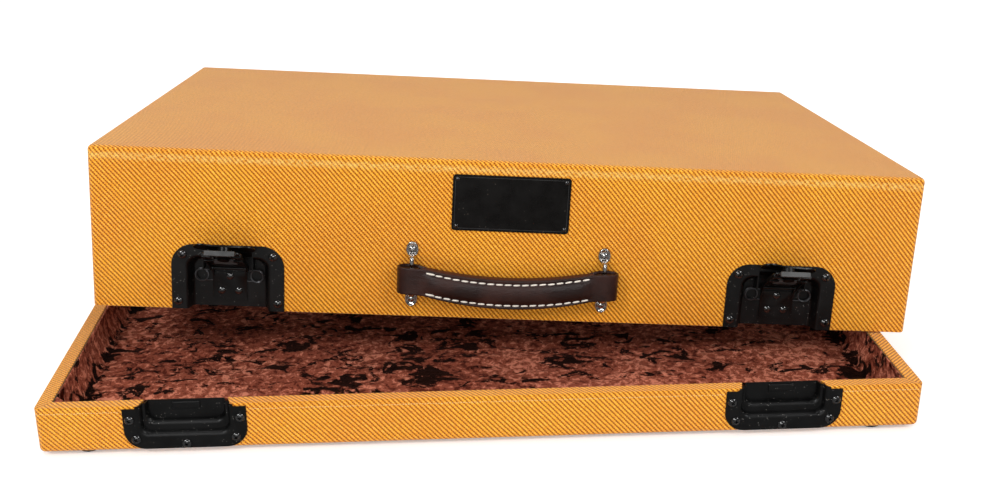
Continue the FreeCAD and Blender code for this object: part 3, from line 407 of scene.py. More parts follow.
def rubber():
    foot = Finish("rubber", {"Roughness": 0.8})
    bloom = foot.noise(foot.place(), 260.0, 3.0)
    foot.set(Base_Color=foot.colour(bloom, srgb(24, 24, 25), srgb(48, 47, 46)),
             Normal=foot.bump(bloom, 0.0003, 0.4))
    return foot.material


def board():
    """Plywood: pale face grain, seen only where the boards are cut."""
    wood = Finish("board", {"Roughness": 0.7})
    grain = wood.noise(wood.mapped(wood.place(), (6.0, 60.0, 60.0)), 4.0, 4.0, 0.6)
    shade = wood.between(grain, 0.35, 0.65)
    wood.set(Base_Color=wood.colour(shade, srgb(176, 140, 96), srgb(214, 184, 140)),
             Normal=wood.bump(grain, 0.0004, 0.4))
    return wood.material


TWEED = tweed()
VELVET = velvet()
LEATHER = leather()
THREAD = thread()
DASH_HIGHLIGHT = painted_fold_highlight()
EDGE = leather_edge()
BLACK = black_coat("black_coat", 0.4, 0.9, 4, 11)
LATCH_BLACK = black_coat("latch_black", 0.34, 0.3, 4, 11)
CAM_BLACK = black_coat("cam_black", 0.6, 0.1, 4, 9, 0.15)
HOOK_GREY = black_coat("hook_grey", 0.4, 0.2, 52, 78)
GLOSS = gloss_black()
CHROME = chrome()
WIRE = dark_wire()
PLATE = plate_black()
BORDER = black_coat("plate_line", 0.4, 0.0, 40, 60)
RUBBER = rubber()
BOARD = board()


# Making pieces

def placed(name, data):
    """A new object in the scene."""
    holder = bpy.data.objects.new(name, data)
    bpy.context.scene.collection.objects.link(holder)
    return holder


def placed_mesh(name, shape):
    """A new object from a bmesh, which is used up."""
    mesh = bpy.data.meshes.new(name)
    shape.to_mesh(mesh)
    shape.free()
    return placed(name, mesh)


def new_piece(name, shape, place, body, material, smooth=True):
    """A finished mesh from a bmesh in a local frame, riding on its body."""
    shape.transform(place)
    piece = placed_mesh(name, shape)
    piece.data.materials.append(material)
    piece.data.polygons.foreach_set("use_smooth", [smooth] * len(piece.data.polygons))
    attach(piece, body)
    return piece


def finished(piece):
    """Bake a piece's modifiers into its mesh."""
    held = piece.evaluated_get(bpy.context.evaluated_depsgraph_get())
    mesh = bpy.data.meshes.new_from_object(held)
    piece.modifiers.clear()
    piece.data = mesh


def give_thickness(piece, thickness):
    """Make a skin a sheet, its thickness behind it."""
    sheet = piece.modifiers.new("sheet", "SOLIDIFY")
    sheet.thickness = thickness
    sheet.offset = -1.0


def mark_sharp(piece, degrees):
    """Smooth shading that stays crisp at edges over an angle."""
    shape = bmesh.new()
    shape.from_mesh(piece.data)
    for edge in shape.edges:
        edge.smooth = edge.is_manifold and edge.calc_face_angle(0) < math.radians(degrees)
    shape.to_mesh(piece.data)
    shape.free()


def even_shading(piece):
    """Normals that follow the large faces, so that small roundings don't bend them."""
    even = piece.modifiers.new("even shading", "WEIGHTED_NORMAL")
    even.keep_sharp = True
    even.weight = 90


def add_copies(target, source, places):
    """Add a bmesh again at each place."""
    mesh = bpy.data.meshes.new("part")
    source.to_mesh(mesh)
    for place in places:
        start = len(target.verts)
        target.from_mesh(mesh)
        target.verts.ensure_lookup_table()
        bmesh.ops.transform(target, matrix=place, verts=target.verts[start:])
    bpy.data.meshes.remove(mesh)


def box_mesh(low, high):
    shape = bmesh.new()
    bmesh.ops.create_cube(shape, size=1.0)
    size = [b - a for a, b in zip(low, high)]
    middle = [(a + b) / 2 for a, b in zip(low, high)]
    shape.transform(Matrix.Translation(middle) @ Matrix.Diagonal((*size, 1.0)))
    return shape


def four_corners(half_x, half_z, middle=0.0):
    return [(x * half_x, middle + z * half_z) for x in SIDES for z in SIDES]


def turned_profile(points, steps):
    """A profile of (radius, height) pairs spun round Z."""
    shape = bmesh.new()
    verts = [shape.verts.new((r, 0, z)) for r, z in points]
    edges = [shape.edges.new(pair) for pair in zip(verts, verts[1:])]
    bmesh.ops.spin(shape, geom=verts + edges, axis=(0, 0, 1), cent=(0, 0, 0), steps=steps,
                   angle=2 * math.pi, use_merge=True)
    bmesh.ops.remove_doubles(shape, verts=shape.verts[:], dist=1e-4)
    bmesh.ops.recalc_face_normals(shape, faces=shape.faces[:])
    return shape


# The cloth-covered shells

def cloth_uv(shape, height):
    """Lay the weave over the shell: up the front, over the top and down the back, and round the
    sides from the front corners."""
    layer = shape.loops.layers.uv.new("cloth")
    for face in shape.faces:
        n = face.normal
        steep = abs(n.z) < 0.7
        for loop in face.loops:
            x, y, z = loop.vert.co
            along, up = x, z
            if not steep and abs(face.calc_center_median().x) > SIDE - RIM_WIDTH and n.z > 0:
                along = math.copysign(SIDE + y - FRONT, x)
                up = z + SIDE - abs(x)
            elif not steep:
                up = z + (y - FRONT) * (1 if n.z > 0 else -1)
            elif abs(n.x) > abs(n.y):
                along = x + (y - FRONT) * (1 if n.x > 0 else -1)
            elif n.y > 0:
                up = 2 * height - z + CASE_DEPTH
            loop[layer].uv = (along * MM, up * MM)


def ring(half_x, half_y, radius, z, steps=4):
    """The points of a rounded rectangle, anticlockwise from its right side."""
    points = []
    for turn in range(4):
        for step in range(steps + 1):
            t = math.pi / 2 * (turn + step / steps)
            right = 1 if turn in (0, 3) else -1
            back = 1 if turn in (0, 1) else -1
            points.append(((half_x - radius) * right + radius * math.cos(t),
                           (half_y - radius) * back + radius * math.sin(t), z))
    return points


def bridged(rings, close_last=False):
    """A skin through rings of equally many points, closed at its first ring."""
    shape = bmesh.new()
    rows = [[shape.verts.new(p) for p in points] for points in rings]
    count = len(rows[0])
    for row, other in zip(rows, rows[1:]):
        for i in range(count):
            shape.faces.new((row[i], row[(i + 1) % count], other[(i + 1) % count], other[i]))
    shape.faces.new(rows[0][::-1])
    if close_last:
        shape.faces.new(rows[-1])
    return shape


def quarter_turn(steps):
    return [math.pi / 2 * step / steps for step in range(steps + 1)]


def shell_mesh(height):
    """One half of the case as its cloth shows it: closed at z = 0, with a turned-in rim."""
    levels = []
    for t in quarter_turn(4):
        levels.append((EDGE_ROUND * (1 - math.sin(t)), EDGE_ROUND * (1 - math.cos(t))))
    for t in quarter_turn(4):
        levels.append((RIM_ROUND * (1 - math.cos(t)), height - RIM_ROUND * (1 - math.sin(t))))
    for t in quarter_turn(3):
        levels.append((RIM_WIDTH - RIM_TURN * (1 - math.sin(t)),
                       height - RIM_TURN * (1 - math.cos(t))))
    levels.append((RIM_WIDTH, height - RIM_LIP))
    return bridged([ring(SIDE - inset, BACK - inset, max(EDGE_ROUND - inset, TIGHTEST_ROUND), z)
                    for inset, z in levels])


def notch(shape, reach, height, ramp_reach=None):
    """Open the front wall and its rim where the pans of the latches go, drawn in as they are."""
    draft = (PAN_MOUTH - PAN_BACK) / 2 / PAN_DEPTH
    holes = [(CUT_HALF, reach, draft)]
    if ramp_reach:
        holes.append((wing_half_chord() + DISH_SHEET + CUT_ROOM, ramp_reach, 0.0))
    for half, top, slope in holes:
        for side in SIDES:
            for way in SIDES:
                split(shape, (side * LATCH_OFFSET + way * half, FRONT, 0), (way, slope, 0))
        split(shape, (0, 0, height - top), (0, 0, 1))
        gone = []
        for face in shape.faces:
            spot = face.calc_center_median()
            wide = half - slope * max(spot.y - FRONT, 0.0)
            in_front = spot.y < FRONT + RIM_WIDTH + 1 and spot.z > height - top
            if in_front and abs(abs(spot.x) - LATCH_OFFSET) < wide:
                gone.append(face)
        bmesh.ops.delete(shape, geom=gone, context="FACES")


def split(shape, point, normal):
    everything = shape.verts[:] + shape.edges[:] + shape.faces[:]
    bmesh.ops.bisect_plane(shape, geom=everything, plane_co=point, plane_no=normal, dist=1e-4)


def wing_level(y, rise):
    """Height at the depth y of a plane over the raised latch's wing, rise above its pin."""
    reach = (PIVOT[0] - rise * math.cos(LATCH_OPEN) - y) / math.sin(LATCH_OPEN)
    return PIVOT[1] - reach * math.cos(LATCH_OPEN) + rise * math.sin(LATCH_OPEN)


def wing_half_chord():
    """Half the width that the turning wing sweeps where it passes the dish's flange."""
    drop = PIVOT[0] - (WING_TOP + WING_ROOM) * math.cos(LATCH_OPEN) + DISH_SHEET
    reach = drop / math.sin(LATCH_OPEN)
    return math.sqrt(WING_HALF ** 2 - (WING_REACH - reach) ** 2) + WING_ROOM


def covering(name, node, height, reach, place, body, ramp_reach=None):
    """The cloth of one half of the case, open at the latches."""
    shape = shell_mesh(height)
    notch(shape, reach, height, ramp_reach)
    if body == "lid":
        shape.transform(Matrix.Translation((0, 0, height)) @ Matrix.Diagonal((1, 1, -1, 1)))
        bmesh.ops.reverse_faces(shape, faces=shape.faces[:])
    shape.normal_update()
    cloth_uv(shape, height)
    piece = new_piece(name, shape, place, body, TWEED)
    give_thickness(piece, CLOTH_THICKNESS * MM)
    finished(piece)
    mark_sharp(piece, 35)
    even_shading(piece)
    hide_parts(node)


covering("tray_cloth", "tray_covering", TRAY_HEIGHT, TRAY_CUT, TRAY, "tray")
covering("lid_cloth", "lid_covering", LID_HEIGHT, LID_CUT, LID, "lid",
         wing_level(0, WING_TOP + WING_ROOM + DISH_SHEET) + CUT_ROOM)


def tray_fold():
    """A row of short pale dashes along the tray's front: a painted highlight on the ribs where the
    cloth bends over its edge.
    """
    end, beside_dish, pitch, below_rim = 3.0, 56.5, 2.5, 5.8
    dash = box_mesh((-0.75, -0.15, -0.3), (0.75, 0.2, 0.3))
    spots = []
    x = -SIDE + end
    while x < SIDE - end:
        if abs(abs(x) - LATCH_OFFSET) > beside_dish:
            level = TRAY_HEIGHT - below_rim + random.uniform(-0.25, 0.25)
            spots.append(Matrix.Translation((x, FRONT, level))
                         @ Matrix.Diagonal((random.uniform(0.6, 1.2), 1, 1, 1)))
        x += pitch
    whole = bmesh.new()
    add_copies(whole, dash, spots)
    dash.free()
    new_piece("tray_fold_highlight", whole, TRAY, "tray", DASH_HIGHLIGHT)


tray_fold()


# The velvet linings

def pile_wave(x, y, z, on_floor):
    """How far the crushed pile stands out at a point of the floor or a wall, in millimetres."""
    spot = Vector((x * 0.35, y, z)) if on_floor else Vector((x, y * 0.35, z * 0.6))
    coarse = noise.noise(spot * 0.035) * 1.6
    fine = noise.noise(spot * 0.11 + Vector((7, 3, 1))) * 0.9
    ridge = abs(noise.noise(spot * 0.06 + Vector((1, 9, 4)))) * -1.3
    return coarse + fine + ridge


def lining(name, node, height, lean, cell, place, body, flip):
    """A glued-down sheet of velvet: its floor, a soft cove all round and sides that lean out."""
    calm_rim, hollow, shade_floor, shade_wall = 10.0, 5.0, 9.0, 14.0
    wall = height - LINING_BELOW_RIM - LINING_FLOOR
    reach_x = SIDE - RIM_WIDTH - LINING_GAP - lean
    reach_y = BACK - RIM_WIDTH - LINING_GAP - lean
    shape = bmesh.new()
    count_x = int(2 * (reach_x + wall) / cell)
    count_y = int(2 * (reach_y + wall) / cell)
    bmesh.ops.create_grid(shape, x_segments=count_x, y_segments=count_y, size=1.0)
    fold_shade = shape.verts.layers.float.new("crease")
    for vert in shape.verts:
        x = vert.co.x * (reach_x + wall)
        y = vert.co.y * (reach_y + wall)
        over_x, over_y = abs(x) - reach_x, abs(y) - reach_y
        over = max(over_x, over_y, 0.0)
        if over > 0:
            if over_x >= over_y:
                y = y * (reach_y / (reach_y + over)) if over_y > 0 else y
                x = math.copysign(reach_x, x)
            else:
                x = x * (reach_x / (reach_x + over)) if over_x > 0 else x
                y = math.copysign(reach_y, y)
            curve = 1 - (1 - min(over / wall * 1.5, 1.0)) ** 2
            if abs(abs(x) - reach_x) < 1e-6:
                x += math.copysign(lean * curve, x)
            if abs(abs(y) - reach_y) < 1e-6:
                y += math.copysign(lean * curve, y)
        z = LINING_FLOOR + over
        wave = pile_wave(x, y, z, over <= 0) * min(1.0, (wall - over) / calm_rim)
        inward = Vector((0, 0, 1.0))
        if over > 0:
            inward = Vector((-math.copysign(1, x) if over_x >= over_y else 0,
                             -math.copysign(1, y) if over_y > over_x else 0, 0.2))
        gaps = (over, over) if over > 0 else (abs(x) - reach_x, abs(y) - reach_y)
        crease = max(math.exp(-(gap / hollow) ** 2) for gap in gaps)
        # The crease layer keeps a painted shade for the velvet: strongest where floor meets wall,
        # fading over the floor and up the walls
        from_fold = min(abs(abs(x) - reach_x), abs(abs(y) - reach_y))
        vert[fold_shade] = math.exp(-(from_fold / shade_floor + over / shade_wall) ** 2)
        vert.co = Vector((x, y, z)) + inward * max(-0.5, wave + PILE_DEPTH * (1 - crease))
    if flip:
        shape.transform(Matrix.Translation((0, 0, height)) @ Matrix.Rotation(math.pi, 4, "X"))
    piece = new_piece(name, shape, place, body, VELVET)
    give_thickness(piece, CLOTH_THICKNESS * MM)
    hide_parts(node)


lining("tray_velvet", "tray_lining", TRAY_HEIGHT, 8.0, 3.2, TRAY, "tray", False)
lining("lid_velvet", "lid_lining", LID_HEIGHT, 5.0, 8.0, LID, "lid", True)


# Latch dishes

def arch(shape, half_width, start, reach, radius, y):
    """The points of an arch, from its left foot over the top to its right foot."""
    points = [(-half_width, y, start)]
    for way in SIDES:
        turns = quarter_turn(9)
        if way == 1:
            turns.reverse()
        points += [(way * (half_width - radius + radius * math.cos(t)), y,
                    reach - radius + radius * math.sin(t)) for t in turns]
    points.append((half_width, y, start))
    verts = [shape.verts.new(p) for p in points]
    return [shape.edges.new(pair) for pair in zip(verts, verts[1:])], verts


def pan_half(y):
    return (PAN_MOUTH + (PAN_BACK - PAN_MOUTH) * (y + DISH_SHEET) / PAN_DEPTH) / 2


def flange(start, reach, radius):
    """The two levels of a dish's flange, its edge turned in a little."""
    half, edge = 55.0, 0.4
    return [(half, start, reach, radius, -0.5),
            (half - edge, start, reach - edge, radius - edge, -DISH_SHEET)]


def pressed(levels, way):
    """A pressed sheet: arches bridged from the flange's edge down to the pan's back, upright
    (way 1) or hanging (way -1)."""
    shape = bmesh.new()
    rows = [arch(shape, *level) for level in levels]
    for (edges, _), (others, _) in zip(rows, rows[1:]):
        bmesh.ops.bridge_loops(shape, edges=edges + others)
    bmesh.ops.contextual_create(shape, geom=rows[-1][1])
    shape.transform(Matrix.Diagonal((1, 1, way, 1)))
    bmesh.ops.recalc_face_normals(shape, faces=shape.faces[:])
    if sum(f.normal.y * f.calc_area() for f in shape.faces) > 0:
        bmesh.ops.reverse_faces(shape, faces=shape.faces[:])
    return shape


def bend_levels(reach_out, reach_in, start, y_out, y_in, radius, bend, steps=4):
    """Arches round a bend between a face at depth y_out and the wall that goes down from it."""
    rows = []
    for t in quarter_turn(steps):
        y = y_out + bend * (1 - math.cos(t))
        share = bend * (1 - math.sin(t))
        rows.append((pan_half(y) + share, start, reach_out + share, radius + share * 0.5, y))
    rows.append((pan_half(y_in), start, reach_in, radius, y_in))
    return rows


def worked(holder):
    """The bmesh that an object's modifier gives; the object goes."""
    held = holder.evaluated_get(bpy.context.evaluated_depsgraph_get())
    result = bmesh.new()
    result.from_mesh(held.to_mesh())
    bpy.data.objects.remove(holder)
    return result


def combined(shape, tool, operation):
    """One bmesh from two closed ones, joined or cut."""
    holder, other = placed_mesh("part", shape), placed_mesh("part", tool)
    change = holder.modifiers.new("change", "BOOLEAN")
    change.object = other
    change.operation = operation
    change.solver = "EXACT"
    result = worked(holder)
    bpy.data.objects.remove(other)
    return result


def thickened(shape, thickness):
    """A closed sheet from an open skin, its thickness behind it."""
    holder = placed_mesh("part", shape)
    give_thickness(holder, thickness)
    return worked(holder)


def ramp_prism(y_near, y_back, grow):
    """The room over the pan's middle that lets the raised wing turn, or with grow its sheet."""
    half = wing_half_chord() + grow
    rise = WING_TOP + WING_ROOM + grow
    far = min(y_back, PAN_FLOOR)
    outline = [(y_near, wing_level(y_near, rise)), (y_back, wing_level(far, rise)),
               (y_back, PIVOT[1]), (y_near, PIVOT[1])]
    shape = bmesh.new()
    face = shape.faces.new([shape.verts.new((-half, y, z)) for y, z in outline])
    grown = bmesh.ops.extrude_face_region(shape, geom=[face])
    moved = [g for g in grown["geom"] if isinstance(g, bmesh.types.BMVert)]
    bmesh.ops.translate(shape, vec=(2 * half, 0, 0), verts=moved)
    bmesh.ops.recalc_face_normals(shape, faces=shape.faces[:])
    return shape


def dish_piece(name, node, shape, height, place, body):
    """Both dishes of one half of the case, their outer edges eased."""
    whole = bmesh.new()
    add_copies(whole, shape, [Matrix.Translation((way * LATCH_OFFSET, FRONT, height))
                              for way in SIDES])
    shape.free()
    weight = whole.edges.layers.float.new("bevel_weight_edge")
    for edge in whole.edges:
        edge[weight] = float(edge.is_convex and edge.calc_face_angle(0) > math.radians(50))
    piece = new_piece(name, whole, place, body, BLACK)
    ease = piece.modifiers.new("eased", "BEVEL")
    ease.width = 0.35 * MM
    ease.segments = 2
    ease.limit_method = "WEIGHT"
    mark_sharp(piece, 50)
    even_shading(piece)
    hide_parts(node)


# A level of a dish is its half width, its start and reach from the rim, its corners' radius and
# its depth. The levels go from the flange's edge to the back of the pan.
OPEN_END = 0.3
FLANGE_END = 2.6
lid_floor = pan_half(PAN_FLOOR)
lid_levels = flange(OPEN_END, 67.0, 22.0)
lid_levels += bend_levels(54.0, 51.4, OPEN_END, -DISH_SHEET, PAN_FLOOR - 2.6, 11.0, 2.2)
lid_levels += [(lid_floor - 0.8, OPEN_END, 50.2, 10.0, 11.2),
               (lid_floor - 2.2, OPEN_END, 49.0, 9.0, PAN_FLOOR)]
lid_dish = thickened(pressed(lid_levels, 1), DISH_SHEET)
lid_dish = combined(lid_dish, ramp_prism(-DISH_SHEET + 0.05, PAN_DEPTH - 0.05, DISH_SHEET), "UNION")
lid_dish = combined(lid_dish, ramp_prism(-3.0, PAN_FLOOR, 0.0), "DIFFERENCE")
dish_piece("latch_dishes_pressed", "latch_dishes", lid_dish, 0, LID, "lid")

PAN_BEND = 3.4
tray_levels = flange(FLANGE_END, 43.6, 19.0)
mouth = pan_half(-DISH_SHEET) + PAN_BEND
tray_levels += [(mouth + 0.6, FLANGE_END, 32.0, 10.0, -DISH_SHEET),
                (mouth + 0.05, OPEN_END, 31.45, 9.75, -DISH_SHEET)]
tray_levels += bend_levels(28.0, 27.7, OPEN_END, -DISH_SHEET, 4.9, 8.0, PAN_BEND, 7)
for t in quarter_turn(7):
    depth = 5.2 + PAN_BEND * (1 - math.cos(t))
    tray_levels.append((pan_half(depth) - 2.0 - 0.5 * math.sin(t), OPEN_END,
                        22.6 - PAN_BEND * math.sin(t), 8.0, depth))
tray_levels += [(pan_half(11) - 2.8, OPEN_END, 19.0, 7.6, PAN_FLOOR)]
tray_dish = thickened(pressed(tray_levels, -1), DISH_SHEET)
# The small hood pressed in the back of the pan
hood = box_mesh((-12.5, 10.3, -9.3), (12.5, 11.9, -2.4))
front_edges = [e for e in hood.edges if min(v.co.y for v in e.verts) < 11]
bmesh.ops.bevel(hood, geom=front_edges, offset=0.8, segments=3, affect="EDGES", profile=0.5,
                material=-1)
add_copies(tray_dish, hood, [Matrix.Identity(4)])
hood.free()
dish_piece("keeper_dishes_pressed", "keeper_dishes", tray_dish, TRAY_HEIGHT, TRAY, "tray")


# Screws with a cross recess

def cross_screw(head, height, shank, length, slot_width, slot_reach):
    """A raised-head screw pointing up Z, its head standing on z = 0."""
    rim = 0.12 * height
    profile = [(0, height)]
    for step in range(1, 6):
        t = math.pi / 2 * step / 5.5
        profile.append((head / 2 * math.sin(t), rim + (height - rim) * math.cos(t)))
    profile += [(head / 2, rim), (head / 2, 0), (shank / 2, 0), (shank / 2, -length),
                (0, -length)]
    screw = turned_profile(profile, 20)
    for turn in (0, math.pi / 2):
        blade = box_mesh((-slot_reach, -slot_width / 2, height * 0.1),
                         (slot_reach, slot_width / 2, height * 1.6))
        for vert in blade.verts:
            if vert.co.z < height * 0.5:
                vert.co.x *= 0.35
                vert.co.y *= 0.6
        blade.transform(Matrix.Rotation(turn, 4, "Z"))
        screw = combined(screw, blade, "DIFFERENCE")
    return screw


def screw_set(node, screw, spots, seat, place, body, material, height=0.0):
    """Screws at (x, z) spots on a front face, each turned its own way."""
    whole = bmesh.new()
    places = []
    for x, z in spots:
        spin = Matrix.Rotation(random.uniform(0, math.pi / 2), 4, "Z")
        places.append(Matrix.Translation((x, FRONT - seat, z + height)) @ TO_FRONT @ spin)
    add_copies(whole, screw, places)
    screw.free()
    piece = new_piece(node + "_cross", whole, place, body, material)
    mark_sharp(piece, 40)
    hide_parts(node)


def round_latches(spots):
    return [(side * LATCH_OFFSET + way * x, z) for side in SIDES for x, z in spots for way in SIDES]


dish_screw = (9.0, 2.6, 4.0, 6.0, 1.5, 2.6)
plate_screw = (4.6, 1.5, 2.4, 4.0, 0.8, 1.3)
bracket_screw = (7.0, 1.9, 3.5, 5.0, 1.2, 2.1)
lid_spots = round_latches([(44.0, 56.5), (48.5, 8.5)])
tray_spots = round_latches([(49.0, -13.5), (44.5, -33.0)])
tray_spots += [(way * LATCH_OFFSET, -38.4) for way in SIDES]
screw_set("latch_dish_screws", cross_screw(*dish_screw), lid_spots, DISH_SHEET,
          LID, "lid", GLOSS)
screw_set("keeper_dish_screws", cross_screw(*dish_screw), tray_spots, DISH_SHEET,
          TRAY, "tray", GLOSS, TRAY_HEIGHT)
screw_set("name_plate_screws", cross_screw(*plate_screw), four_corners(53.0, 23.5, PLATE_CENTRE),
          1.2, LID, "lid", GLOSS)
screw_set("handle_bracket_screws", cross_screw(*bracket_screw),
          four_corners(BAR_OFFSET, EYE_RISE, HANDLE_HEIGHT), 1.5, LID, "lid", CHROME)


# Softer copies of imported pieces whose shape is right

def softened_copy(node, width, material):
    """The node's own shape with its edges eased, for the light to catch."""
    source = frame["nodes"][node]
    shape = bmesh.new()
    shape.from_mesh(source.data)
    bmesh.ops.remove_doubles(shape, verts=shape.verts[:], dist=2e-6)
    bmesh.ops.dissolve_limit(shape, angle_limit=math.radians(1.0), verts=shape.verts[:],
                             edges=shape.edges[:])
    piece = new_piece(node + "_eased", shape, Matrix.Identity(4), source["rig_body"], material)
    if width:
        ease = piece.modifiers.new("eased", "BEVEL")
        ease.width = width * MM
        ease.segments = 2
        ease.limit_method = "ANGLE"
        ease.angle_limit = math.radians(35)
    mark_sharp(piece, 35)
    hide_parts(node)


for side in ("left", "right"):
    softened_copy("latch_carrier_" + side, 0.3, LATCH_BLACK)
    softened_copy("latch_wing_" + side, 0.35, LATCH_BLACK)
    softened_copy("latch_hook_" + side, 0.3, HOOK_GREY)
    softened_copy("latch_cam_" + side, 0.2, CAM_BLACK)
softened_copy("latch_bases", 0.25, LATCH_BLACK)
softened_copy("latch_springs", 0, WIRE)
softened_copy("tray_hinge_halves", 0.3, BLACK)
softened_copy("lid_hinge_halves", 0.3, BLACK)
softened_copy("name_plate", 0.3, PLATE)

BASE_SHEET = 1.5
dome = turned_profile([(0, 1.6), (1.6, 1.5), (2.9, 1.05), (3.8, 0.4), (4.0, 0.0), (2.0, 0.0),
                       (2.0, -2.6), (0, -2.6)], 20)
rivet_depth = FRONT + PAN_FLOOR - BASE_SHEET
rivet_places = [Matrix.Translation((way * LATCH_OFFSET + x, rivet_depth, z)) @ TO_FRONT
                for way in SIDES for x, z in ((0, 32.0), (-8.3, 17.0), (8.3, 17.0))]
rivets = bmesh.new()
add_copies(rivets, dome, rivet_places)
dome.free()
domes = new_piece("latch_base_rivets_domed", rivets, LID, "lid", GLOSS)
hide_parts("latch_base_rivets")


# Carrying handle

def strap_height(x):
    """Height of the strap's middle over the bars' middle: an arc that levels out at the loops."""
    curve = (BAR_OFFSET ** 2 + STRAP_SAG ** 2) / (2 * STRAP_SAG)
    past = max(abs(x) - STRAP_STRAIGHT, 0.0)
    x = min(abs(x), STRAP_STRAIGHT) + 6.0 * (1 - math.exp(-past / 6.0))
    return -(math.sqrt(curve * curve - x * x) - (curve - STRAP_SAG))


def strap_width(x):
    """The strap is a little wider in its middle than at its loops."""
    return 1.0 + 0.085 * max(1 - (x / STRAP_HALF) ** 2, 0.0)


def padding(x, z):
    """How far the front leather stands out over its padding, inside the stitch rows."""
    ends = min(max((85.0 - abs(x)) / 12.0, 0.0), 1.0)
    ends = ends * ends * (3 - 2 * ends)
    if abs(z) < PADDED_HALF:
        return 2.0 * ends * (1 - (z / PADDED_HALF) ** 2) ** 0.6
    return -0.35 * ends * math.sin(math.pi * (min(abs(z), 12.0) - PADDED_HALF) / 2.6)


def strap_path():
    """The front leather's line in plan, from behind round the bar and along the front, each
    point with the direction that the leather faces there."""
    half = [(79.0, -10.2, -0.35, 0.94), (84.5, -8.0, -0.45, 0.89), (90.0, -4.6, -0.35, 0.94)]
    for step in range(13):
        t = math.pi / 2 - math.pi * step / 12
        x = LOOP_CENTRE[0] + LOOP_REACH[0] * math.cos(t)
        y = LOOP_CENTRE[1] + LOOP_REACH[1] * math.sin(t)
        nx, ny = math.cos(t) / LOOP_REACH[0], math.sin(t) / LOOP_REACH[1]
        size = math.hypot(nx, ny)
        half.append((x, y, nx / size, ny / size))
    half += [(x, STRAP_FACE, 0.0, -1.0) for x in (92.0, 88.0, 84.0, 80.0, 76.0, 72.0, 66.0, 58.0,
                                                  48.0, 36.0, 24.0, 12.0)]
    other = [(-x, y, -nx, ny) for x, y, nx, ny in reversed(half)]
    return half + [(0.0, STRAP_FACE, 0.0, -1.0)] + other


def strap_piece():
    """The padded front leather with its loops, the back leather, and the packing in the loops."""
    upper = [5.0, 8.0, 9.4, 10.4, 11.2, 12.0, 12.9]
    heights = [-z for z in reversed(upper)] + [0.0] + upper
    rings = []
    for x, y, nx, ny in strap_path():
        front = abs(y - STRAP_FACE) < 1e-6
        outline = [(1.3 + (padding(x, z) if front else 0.0), z) for z in heights]
        outline += [(1.0, 13.4), (0.2, 13.7), (-0.8, 13.4), (-1.2, 12.8), (-1.2, -12.8),
                    (-0.8, -13.4), (0.2, -13.7), (1.0, -13.4)]
        wide = strap_width(x)
        rings.append([(x + nx * out, y + ny * out, z * wide + strap_height(x + nx * out))
                      for out, z in outline])
    whole = bridged(rings, close_last=True)
    rings = []
    for step in range(43):
        x = -STRAP_HALF + 4.0 * step
        end = min(max((abs(x) - 74.0) / 10.0, 0.0), 1.0)
        near, back = -17.4 + 3.0 * end, -8.0 - 3.5 * end
        outline = [(near, -13.0), (near, 13.0), (near + 0.5, 13.5), (back - 0.9, 13.5),
                   (back - 0.2, 13.1), (back, 12.4), (back, -12.4), (back - 0.2, -13.1),
                   (back - 0.9, -13.5), (near + 0.5, -13.5)]
        rings.append([(x, y, z * strap_width(x) + strap_height(x)) for y, z in outline])
    layer = bridged(rings, close_last=True)
    bmesh.ops.recalc_face_normals(layer, faces=layer.faces[:])
    mark_sharp(new_piece("strap_back_leather", layer, HANDLE, "handle", EDGE), 50)
    bmesh.ops.recalc_face_normals(whole, faces=whole.faces[:])
    pull_play = 2.6
    for way in SIDES:
        packing = turned_profile([(0, -11.5), (1.0, -11.5), (1.0, 11.5), (0, 11.5)], 32)
        middle = (way * LOOP_CENTRE[0], LOOP_CENTRE[1], strap_height(96.0))
        packing.transform(Matrix.Translation(middle) @ Matrix.Diagonal((9.6, 7.0, 1.0, 1.0)))
        hole = turned_profile([(0, -20), (2.9, -20), (2.9, 20), (0, 20)], 20)
        for vert in hole.verts:
            if vert.co.y > 0:
                vert.co.y += pull_play
        hole.transform(Matrix.Translation((way * BAR_OFFSET, BAR_DEPTH, 0)))
        packing = combined(packing, hole, "DIFFERENCE")
        add_copies(whole, packing, [Matrix.Identity(4)])
        packing.free()
    piece = new_piece("strap_leather", whole, HANDLE, "handle", LEATHER)
    mark_sharp(piece, 50)
    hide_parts("handle_strap", "handle_core")


def stitch_rows():
    """Two rows of stitches along the strap's edges, each started with a back stitch."""
    bead = bmesh.new()
    bmesh.ops.create_uvsphere(bead, u_segments=8, v_segments=8, radius=1.0)
    for vert in bead.verts:
        vert.co.x = math.copysign(abs(vert.co.x) ** 0.6, vert.co.x)
    bead.transform(Matrix.Diagonal((3.5, 0.75, 0.85, 1.0)))
    places = []
    row_height, first, pitch, count = 10.6, -76.2, 8.45, 19
    for row in (-row_height, row_height):
        spots = [first + pitch * step for step in range(count)]
        for index, x in enumerate(spots + [first + 1.2, first - 0.8]):
            slope = (strap_height(x + 1) - strap_height(x - 1)) / 2
            lift = 0.55 if index >= count else 0.0
            tilt = Matrix.Rotation(-math.atan(slope) - 0.05 + random.uniform(-0.03, 0.03), 4, "Y")
            level = strap_height(x) + row + random.uniform(-0.12, 0.12) + lift * 0.8
            places.append(Matrix.Translation((x, -20.2 - lift, level)) @ tilt)
    whole = bmesh.new()
    add_copies(whole, bead, places)
    bead.free()
    new_piece("strap_stitches", whole, HANDLE, "handle", THREAD)


strap_piece()
stitch_rows()


